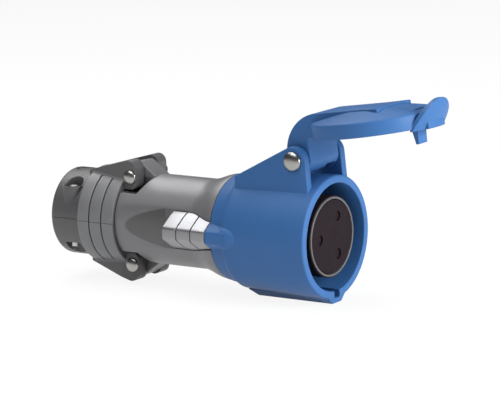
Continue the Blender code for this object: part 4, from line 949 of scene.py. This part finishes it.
def clampEars(sign, name):
    # both ears of a half and the roof between them, narrower to the rear
    c = clamp
    outline = rounded([
        (c["earRearX"], c["earLowZ"], 0), (c["earRearX"], c["earRearZ"], 0),
        (c["earFrontX"], c["earTopZ"], 3.6 * mm), (c["earFrontX"], c["earLowZ"], 2.4 * mm),
    ], 12)
    ears = plate(f"ears{name}", mirrored(outline, sign), -c["earOuter"], c["earOuter"])
    past = 2 * mm
    slope = (c["earOuter"] - c["earRearY"]) / (c["earBendX"] - c["earRearX"])
    plan = rounded([
        (c["earFrontX"] + past, c["earOuter"], 0), (c["earBendX"], c["earOuter"], 12 * mm),
        (c["earRearX"] - past, c["earRearY"] - past * slope, 0),
    ], 6)
    plan += [(x, -y) for x, y in reversed(plan)]
    low, high = ordered(sign, c["earLowZ"] - past, c["earTopZ"] + past)
    keep(ears, plate(f"earPlan{name}", plan, low, high, "XY"))
    settle(ears)
    return addBevel(ears, 0.5 * mm, 3, 30)


def buildClampHalf(sign, name):
    c = clamp
    body = turned(f"clampMesh{name}", clampLine())
    join(body, clampEars(sign, name))
    if sign > 0:
        for side in (-1, 1):
            boss = rodUp(f"boss{side}", c["screwX"], side * c["screwY"], reach, c["bossTop"], c["bossRadius"])
            join(body, boss)
    seat = c["seatZ"] if sign > 0 else c["nutSeatZ"]
    far = 40 * mm
    low, high = ordered(sign, c["splitGap"] / 2, -far)
    cut(body, box(f"split{name}", (c["rearX"] - far, -far, low), (far, far, high)))
    low, high = ordered(sign, c["slotLow"], far)
    slotHalf = grip["finHalf"] + gap
    cut(body, box(f"slot{name}", (grip["finRear"] - gap, -slotHalf, low), (far, slotHalf, high)))
    bore = grip["tailRadius"] + gap
    grommetBore = c["grommetRadius"] + gap
    seatX, step = grip["tailRear"] - gap, c["holeChamfer"]
    cut(body, turned(f"clampHollow{name}", [
        (c["frontX"] + reach, 0), (c["frontX"] + reach, bore), (seatX, bore), (seatX, grommetBore),
        (c["rearX"] + c["rearLip"], grommetBore), (c["rearX"] + c["rearLip"], c["holeRadius"]),
        (c["rearX"] + step, c["holeRadius"]), (c["rearX"], c["holeRadius"] + step),
        (c["rearX"] - reach, c["holeRadius"] + step + reach), (c["rearX"] - reach, 0),
    ]))
    for side in (-1, 1):
        x, y = c["screwX"], side * c["screwY"]
        cut(body, rodUp(f"pocket{name}{side}", x, y, sign * seat, sign * far, c["pocketRadius"]))
        cut(body, rodUp(f"bore{name}{side}", x, y, 0, sign * far, c["shankRadius"] + gap))
    cut(body, rodAcross(f"pinBore{name}", c["pinX"], sign * c["pinZ"], far, c["pinRadius"] + gap))
    floor = c["collarRadius"] - c["dishDepth"]
    cut(body, rodUp(f"dish{name}", c["dishX"], 0, sign * floor, sign * far, c["dishRadius"]))
    finishPiece(body, "body", "clamp", [f"clamp_{name}"])


buildClampHalf(1, "upper")
buildClampHalf(-1, "lower")
print("cable clamp built")


# Fasteners and springs: Geometry Nodes trees that put one shape at each given point, or wire along a path


class ShapeTree:
    # one Geometry Nodes tree with named sizes and a finish

    def __init__(self, name, sizes):
        self.tree = bpy.data.node_groups.new(name, "GeometryNodeTree")
        self.keys = {}
        for direction in ("INPUT", "OUTPUT"):
            self.addSocket("Geometry", "NodeSocketGeometry", direction)
        for label, value in sizes.items():
            self.addSocket(label, "NodeSocketFloat").default_value = value
        self.addSocket("Finish", "NodeSocketMaterial")
        self.given = self.tree.nodes.new("NodeGroupInput")
        self.output = self.tree.nodes.new("NodeGroupOutput")

    def addSocket(self, label, kind, direction="INPUT"):
        socket = self.tree.interface.new_socket(label, in_out=direction, socket_type=kind)
        self.keys[label] = socket.identifier
        return socket

    def value(self, label):
        return self.given.outputs[label]

    def node(self, kind, settings=None, sockets=None):
        return makeNode(self.tree, kind, settings, sockets).outputs[0]

    def maths(self, operation, first, second):
        return self.node("ShaderNodeMath", {"operation": operation}, {0: first, 1: second})

    def vector(self, x, y, z):
        return self.node("ShaderNodeCombineXYZ", {}, {"X": x, "Y": y, "Z": z})

    def cylinder(self, sides, radius, depth):
        sizes = {"Vertices": sides, "Radius": radius, "Depth": depth}
        return self.node("GeometryNodeMeshCylinder", {}, sizes)

    def ball(self, segments, rings, radius):
        sizes = {"Segments": segments, "Rings": rings, "Radius": radius}
        return self.node("GeometryNodeMeshUVSphere", {}, sizes)

    def block(self, size):
        return self.node("GeometryNodeMeshCube", {}, {"Size": size})

    def changed(self, shape, **sockets):
        # a shape moved by Translation, turned by Rotation and stretched by Scale
        return self.node("GeometryNodeTransform", {}, {"Geometry": shape, **sockets})

    def solid(self, operation, sockets):
        return self.node("GeometryNodeMeshBoolean", {"operation": operation}, sockets)

    def without(self, shape, cutter):
        return self.solid("DIFFERENCE", {"Mesh 1": shape, "Mesh 2": cutter})

    def atPoints(self, shape, turn=(0, 0, 0)):
        # puts the shape at every point of the mesh that the tree is given
        self.close(self.node("GeometryNodeInstanceOnPoints", {}, {
            "Points": self.value("Geometry"), "Instance": shape, "Rotation": turn,
        }))

    def close(self, shape):
        real = self.node("GeometryNodeRealizeInstances", {}, {"Geometry": shape})
        finished = {"Geometry": real, "Material": self.value("Finish")}
        painted = self.node("GeometryNodeSetMaterial", {}, finished)
        self.tree.links.new(painted, self.output.inputs[0])

    def grow(self, name, points, edges, sizes, material):
        # runs the tree on a mesh of points or a path, and keeps the plain result
        mesh = bpy.data.meshes.new(name)
        mesh.from_pydata(points, edges, [])
        piece = addObject(name, mesh)
        step = piece.modifiers.new("shape tree", "NODES")
        step.node_group = self.tree
        for label, value in {**sizes, "Finish": material}.items():
            step[self.keys[label]] = value
        return settle(piece, 40)


def domedPinTree():
    tree = ShapeTree("domed pins", inMetres({
        "Half Length": 12.0, "Radius": 1.9, "Head Radius": 3.0, "Head Height": 1.3,
    }))
    shank = tree.cylinder(48, tree.value("Radius"), tree.maths("MULTIPLY", tree.value("Half Length"), 2.0))
    headRadius = tree.value("Head Radius")
    dome = tree.changed(
        tree.ball(48, 24, 1.0), Scale=tree.vector(headRadius, headRadius, tree.value("Head Height")),
    )
    underSize, overlap = 20 * mm, 0.01 * mm
    under = tree.changed(tree.block((underSize,) * 3), Translation=(0, 0, -underSize / 2 - overlap))
    head = tree.without(dome, under)
    up = tree.changed(head, Translation=tree.vector(0.0, 0.0, tree.value("Half Length")))
    down = tree.changed(up, Rotation=(math.pi, 0, 0))
    pin = tree.solid("UNION", {"Mesh 2": [shank, up, down]})
    smooth = tree.node("GeometryNodeSetShadeSmooth", {}, {"Geometry": pin})
    tree.atPoints(smooth, (math.pi / 2, 0, 0))
    return tree


def slottedScrewTree():
    tree = ShapeTree("slotted screws", inMetres({
        "Head Radius": 3.6, "Head Height": 2.2, "Shank Radius": 1.6, "Shank Length": 22.0,
        "Slot Width": 1.0, "Slot Depth": 1.1, "Slot Turn": 0.0,
    }))
    crownRatio, sunk, slotLength = 1.6, 0.8 * mm, 20 * mm
    height = tree.value("Head Height")
    crownRadius = tree.maths("MULTIPLY", tree.value("Head Radius"), crownRatio)
    body = tree.changed(
        tree.cylinder(48, tree.value("Head Radius"), height),
        Translation=tree.vector(0.0, 0.0, tree.maths("MULTIPLY", height, 0.5)),
    )
    crown = tree.changed(
        tree.ball(48, 32, crownRadius),
        Translation=tree.vector(0.0, 0.0, tree.maths("SUBTRACT", height, crownRadius)),
    )
    head = tree.solid("INTERSECT", {"Mesh 2": [body, crown]})
    slotHeight = tree.maths("MULTIPLY", tree.value("Slot Depth"), 2.0)
    slot = tree.changed(
        tree.block(tree.vector(slotLength, tree.value("Slot Width"), slotHeight)),
        Translation=tree.vector(0.0, 0.0, height), Rotation=tree.vector(0.0, 0.0, tree.value("Slot Turn")),
    )
    head = tree.without(head, slot)
    halfShank = tree.maths("MULTIPLY", tree.value("Shank Length"), 0.5)
    shank = tree.changed(
        tree.cylinder(32, tree.value("Shank Radius"), tree.value("Shank Length")),
        Translation=tree.vector(0.0, 0.0, tree.maths("SUBTRACT", sunk, halfShank)),
    )
    tree.atPoints(tree.solid("UNION", {"Mesh 2": [head, shank]}))
    return tree


def hexNutTree():
    tree = ShapeTree("hexagon nuts", inMetres({"Across Corners": 7.2, "Height": 2.6, "Bore Radius": 1.7}))
    corners, chamferRatio = tree.value("Across Corners"), 0.512
    body = tree.cylinder(6, tree.maths("MULTIPLY", corners, 0.5), tree.value("Height"))
    ball = tree.ball(40, 21, tree.maths("MULTIPLY", corners, chamferRatio))
    body = tree.solid("INTERSECT", {"Mesh 2": [body, ball]})
    tree.atPoints(tree.without(body, tree.cylinder(33, tree.value("Bore Radius"), 10 * mm)))
    return tree


def wireTree():
    tree = ShapeTree("wire along a path", inMetres({"Wire Radius": 0.4}))
    path = tree.node("GeometryNodeMeshToCurve", {}, {"Mesh": tree.value("Geometry")})
    ring = tree.node("GeometryNodeCurvePrimitiveCircle", {"mode": "RADIUS"}, {
        "Resolution": 10, "Radius": tree.value("Wire Radius"),
    })
    sockets = {"Curve": path, "Profile Curve": ring, "Fill Caps": True}
    tree.close(tree.node("GeometryNodeCurveToMesh", {}, sockets))
    return tree


def coilPath(start, end, radius, turns, perTurn, squash=1.0):
    # points of a coil about the line from start to end
    start, end = Vector(start), Vector(end)
    turn = (end - start).to_track_quat("Z", "Y").to_matrix()
    count = turns * perTurn
    points = []
    for i in range(count + 1):
        angle = 2 * math.pi * i / perTurn
        spoke = turn @ Vector((radius * math.cos(angle), radius * math.sin(angle) * squash, 0))
        points.append(start + (end - start) * i / count + spoke)
    return points, [(i, i + 1) for i in range(len(points) - 1)]


fasteners = inMetres({
    "pinHead": 3.0, "pinHeadHeight": 1.3, "screwHead": 3.6, "screwHeadHeight": 2.2, "slotWidth": 1.0,
    "nutCorners": 7.2,
})
slotTurn = 0.35
lidCoil = inMetres({"start": 3.95, "end": 8.55, "radius": 3.1, "wire": 0.45})
sliderCoil = inMetres({"rear": -64.3, "front": -56.0, "y": 15.8, "radius": 0.9, "wire": 0.22})
grommet = inMetres({"endGap": 0.6, "grooveDepth": 0.6, "edge": 0.3, "grooveEdge": 0.2, "holeEdge": 0.6})
grommetRibs = 3


def buildPins():
    c, pins = clamp, domedPinTree()
    hingePin = pins.grow("hingePinMesh", [(hinge["x"], 0, hinge["z"])], [], {
        "Half Length": hinge["earOuter"] + gap, "Radius": hinge["pinRadius"],
        "Head Radius": hinge["headRadius"], "Head Height": hinge["headHeight"],
    }, finishes["steel"])
    finishPiece(hingePin, "body", "steel", ["hinge_pin"])
    clampPins = pins.grow("clampPinMesh", [(c["pinX"], 0, c["pinZ"]), (c["pinX"], 0, -c["pinZ"])], [], {
        "Half Length": c["earOuter"] + gap, "Radius": c["pinRadius"],
        "Head Radius": fasteners["pinHead"], "Head Height": fasteners["pinHeadHeight"],
    }, finishes["steel"])
    finishPiece(clampPins, "body", "steel", ["clamp_pin_upper", "clamp_pin_lower"])


def buildScrewsAndNuts():
    c, sides = clamp, (-clamp["screwY"], clamp["screwY"])
    seat, nutTop = c["seatZ"] + gap, c["nutSeatZ"] + gap
    clampScrews = slottedScrewTree().grow("clampScrewMesh", [(c["screwX"], y, seat) for y in sides], [], {
        "Head Radius": fasteners["screwHead"], "Head Height": fasteners["screwHeadHeight"],
        "Shank Radius": c["shankRadius"], "Shank Length": seat + nutTop + c["nutHeight"],
        "Slot Width": fasteners["slotWidth"], "Slot Turn": slotTurn,
    }, finishes["screws"])
    finishPiece(clampScrews, "body", "screws", ["clamp_screw_left", "clamp_screw_right"])
    level = -nutTop - c["nutHeight"] / 2
    clampNuts = hexNutTree().grow("clampNutMesh", [(c["screwX"], y, level) for y in sides], [], {
        "Across Corners": fasteners["nutCorners"], "Height": c["nutHeight"],
    }, finishes["screws"])
    finishPiece(clampNuts, "body", "screws", ["clamp_nut_left", "clamp_nut_right"])


def buildSprings():
    wire, c = wireTree(), lidCoil
    start, end = (hinge["x"], c["start"], hinge["z"]), (hinge["x"], c["end"], hinge["z"])
    points, edges = coilPath(start, end, c["radius"], turns=4, perTurn=32)
    lidSpring = wire.grow("lidSpringMesh", points, edges, {"Wire Radius": c["wire"]}, finishes["steel"])
    finishPiece(lidSpring, "body", "steel", ["lid_spring"])
    c = sliderCoil
    for side, name in ((-1, "left"), (1, "right")):
        start, end = (c["rear"], side * c["y"], 0), (c["front"], side * c["y"], 0)
        points, edges = coilPath(start, end, c["radius"], turns=7, perTurn=24, squash=0.8)
        size = {"Wire Radius": c["wire"]}
        spring = wire.grow(f"sliderSpringMesh{name}", points, edges, size, finishes["steel"])
        finishPiece(spring, "body", "steel", [f"slider_spring_{name}"])


def buildGrommet():
    g = grommet
    front, rear = grip["tailRear"] - g["endGap"], clamp["rearX"] + clamp["rearLip"] + gap
    outer, inner = clamp["grommetRadius"], clamp["grommetRadius"] - clamp["grommetWall"]
    floor = outer - g["grooveDepth"]
    span = (front - rear) / (2 * grommetRibs + 1)
    corners = [(front, outer, g["edge"])]
    for i in range(grommetRibs):
        x = front - span * (2 * i + 1)
        corners += [
            (x, outer, g["edge"]), (x, floor, g["grooveEdge"]),
            (x - span, floor, g["grooveEdge"]), (x - span, outer, g["edge"]),
        ]
    corners += [(rear, outer, g["edge"]), (rear, inner, g["holeEdge"]), (front, inner, g["holeEdge"])]
    sleeve = turned("grommetMesh", rounded(corners, 4), 96, True)
    finishPiece(sleeve, "body", "rubber", ["cable_grommet"])


buildPins()
buildScrewsAndNuts()
buildSprings()
buildGrommet()

carried = {
    "brass": ["contact_line", "contact_neutral", "contact_earth"],
    "steel": [
        "terminal_screw_line", "terminal_screw_neutral", "terminal_screw_earth",
        "carrier_screw_1", "carrier_screw_2",
    ],
    "rubber": ["housing_seal"],
}
for finishName, names in carried.items():
    for name in names:
        nodes[name].data.materials.clear()
        nodes[name].data.materials.append(finishes[finishName])
clearWorkshop()
print("fasteners, springs and grommet built")


# Stage: pale floor, soft studio light and the camera, in metres apart from the lens and its sensor

stage = {
    "floorSize": 6.0, "floorGap": 0.2 * mm, "floorTone": 0.9, "floorGlow": 0.9, "floorShine": 0.9,
    "worldTint": (0.93, 0.96, 1.0, 1), "worldGlow": 0.05, "lampAim": (-0.03, 0, 0.01),
    "lens": 216.0, "sensorWidth": 36.0, "farLimit": 20.0, "cameraPlace": (0.62932, -1.00362, 0.24101),
    "cameraRight": (0.83432141, 0.55085492, -0.02160204),
    "cameraUp": (-0.08527509, 0.16767251, 0.98214769),
    "cameraBack": (0.54464296, -0.81758473, 0.18686696),
}
lamps = {
    "top softbox": {"place": (-0.46, 0.25, 0.72), "size": 0.6, "power": 5.0},
    "front softbox": {"place": (1.1, 0.05, 0.4), "size": 0.6, "power": 22.0},
    "side softbox": {"place": (-0.15, -0.45, 0.95), "size": 0.8, "power": 7.6},
}
white = (1, 1, 1, 1)


def addToScene(name, data):
    piece = bpy.data.objects.new(name, data)
    bpy.context.scene.collection.objects.link(piece)
    return piece


def emptyTree(owner):
    owner.use_nodes = True
    owner.node_tree.nodes.clear()
    return owner.node_tree


def mixedTo(tree, kind, share, first, second):
    # ends a tree with two shaders mixed by a share
    sockets = {0: share.outputs[0], 1: first.outputs[0], 2: second.outputs[0]}
    mix = makeNode(tree, "ShaderNodeMixShader", {}, sockets)
    makeNode(tree, kind, {}, {"Surface": mix.outputs[0]})


def buildWorld():
    world = bpy.data.worlds.new("plain studio")
    bpy.context.scene.world = world
    tree = emptyTree(world)
    path = makeNode(tree, "ShaderNodeLightPath").outputs
    seen = makeNode(tree, "ShaderNodeMath", {"operation": "MAXIMUM"}, {
        0: path["Is Camera Ray"], 1: path["Is Transmission Ray"],
    })
    lit = makeNode(tree, "ShaderNodeBackground", {}, {
        "Color": stage["worldTint"], "Strength": stage["worldGlow"],
    })
    plain = makeNode(tree, "ShaderNodeBackground", {}, {"Color": white})
    mixedTo(tree, "ShaderNodeOutputWorld", seen, lit, plain)


def buildFloor():
    half = stage["floorSize"] / 2
    z = cadBox[0][2] - stage["floorGap"]
    mesh = bpy.data.meshes.new("floor")
    corners = [(-half, -half, z), (half, -half, z), (half, half, z), (-half, half, z)]
    mesh.from_pydata(corners, [], [(0, 1, 2, 3)])
    floor = addToScene("floor", mesh)
    material = bpy.data.materials.new("pale floor")
    mesh.materials.append(material)
    tree = emptyTree(material)
    path = makeNode(tree, "ShaderNodeLightPath").outputs
    shine = makeNode(tree, "ShaderNodeMath", {"operation": "MULTIPLY"}, {
        0: path["Is Glossy Ray"], 1: stage["floorShine"],
    })
    share = makeNode(tree, "ShaderNodeMath", {"operation": "MULTIPLY_ADD"}, {
        0: path["Is Camera Ray"], 1: stage["floorGlow"], 2: shine.outputs[0],
    })
    matt = makeNode(tree, "ShaderNodeBsdfDiffuse", {}, {"Color": (stage["floorTone"],) * 3 + (1,)})
    glow = makeNode(tree, "ShaderNodeEmission", {}, {"Strength": 1.0})
    mixedTo(tree, "ShaderNodeOutputMaterial", share, matt, glow)


def addLamp(name, place, size, power):
    light = bpy.data.lights.new(name, "AREA")
    light.shape = "RECTANGLE"
    light.size = light.size_y = size
    light.energy = power
    holder = addToScene(name, light)
    holder.location = place
    turn = (Vector(place) - Vector(stage["lampAim"])).to_track_quat("Z", "Y")
    holder.rotation_euler = turn.to_euler()


def buildCamera():
    data = bpy.data.cameras.new("camera")
    data.lens = stage["lens"]
    data.sensor_width = stage["sensorWidth"]
    data.sensor_fit = "HORIZONTAL"
    data.clip_end = stage["farLimit"]
    camera = addToScene("camera", data)
    rows = Matrix((stage["cameraRight"], stage["cameraUp"], stage["cameraBack"])).transposed()
    camera.matrix_world = Matrix.Translation(stage["cameraPlace"]) @ rows.to_4x4()
    bpy.context.scene.camera = camera


buildWorld()
buildFloor()
for name, lamp in lamps.items():
    addLamp(name, lamp["place"], lamp["size"], lamp["power"])
buildCamera()
bpy.context.scene.view_settings.view_transform = "Standard"
print("stage built")
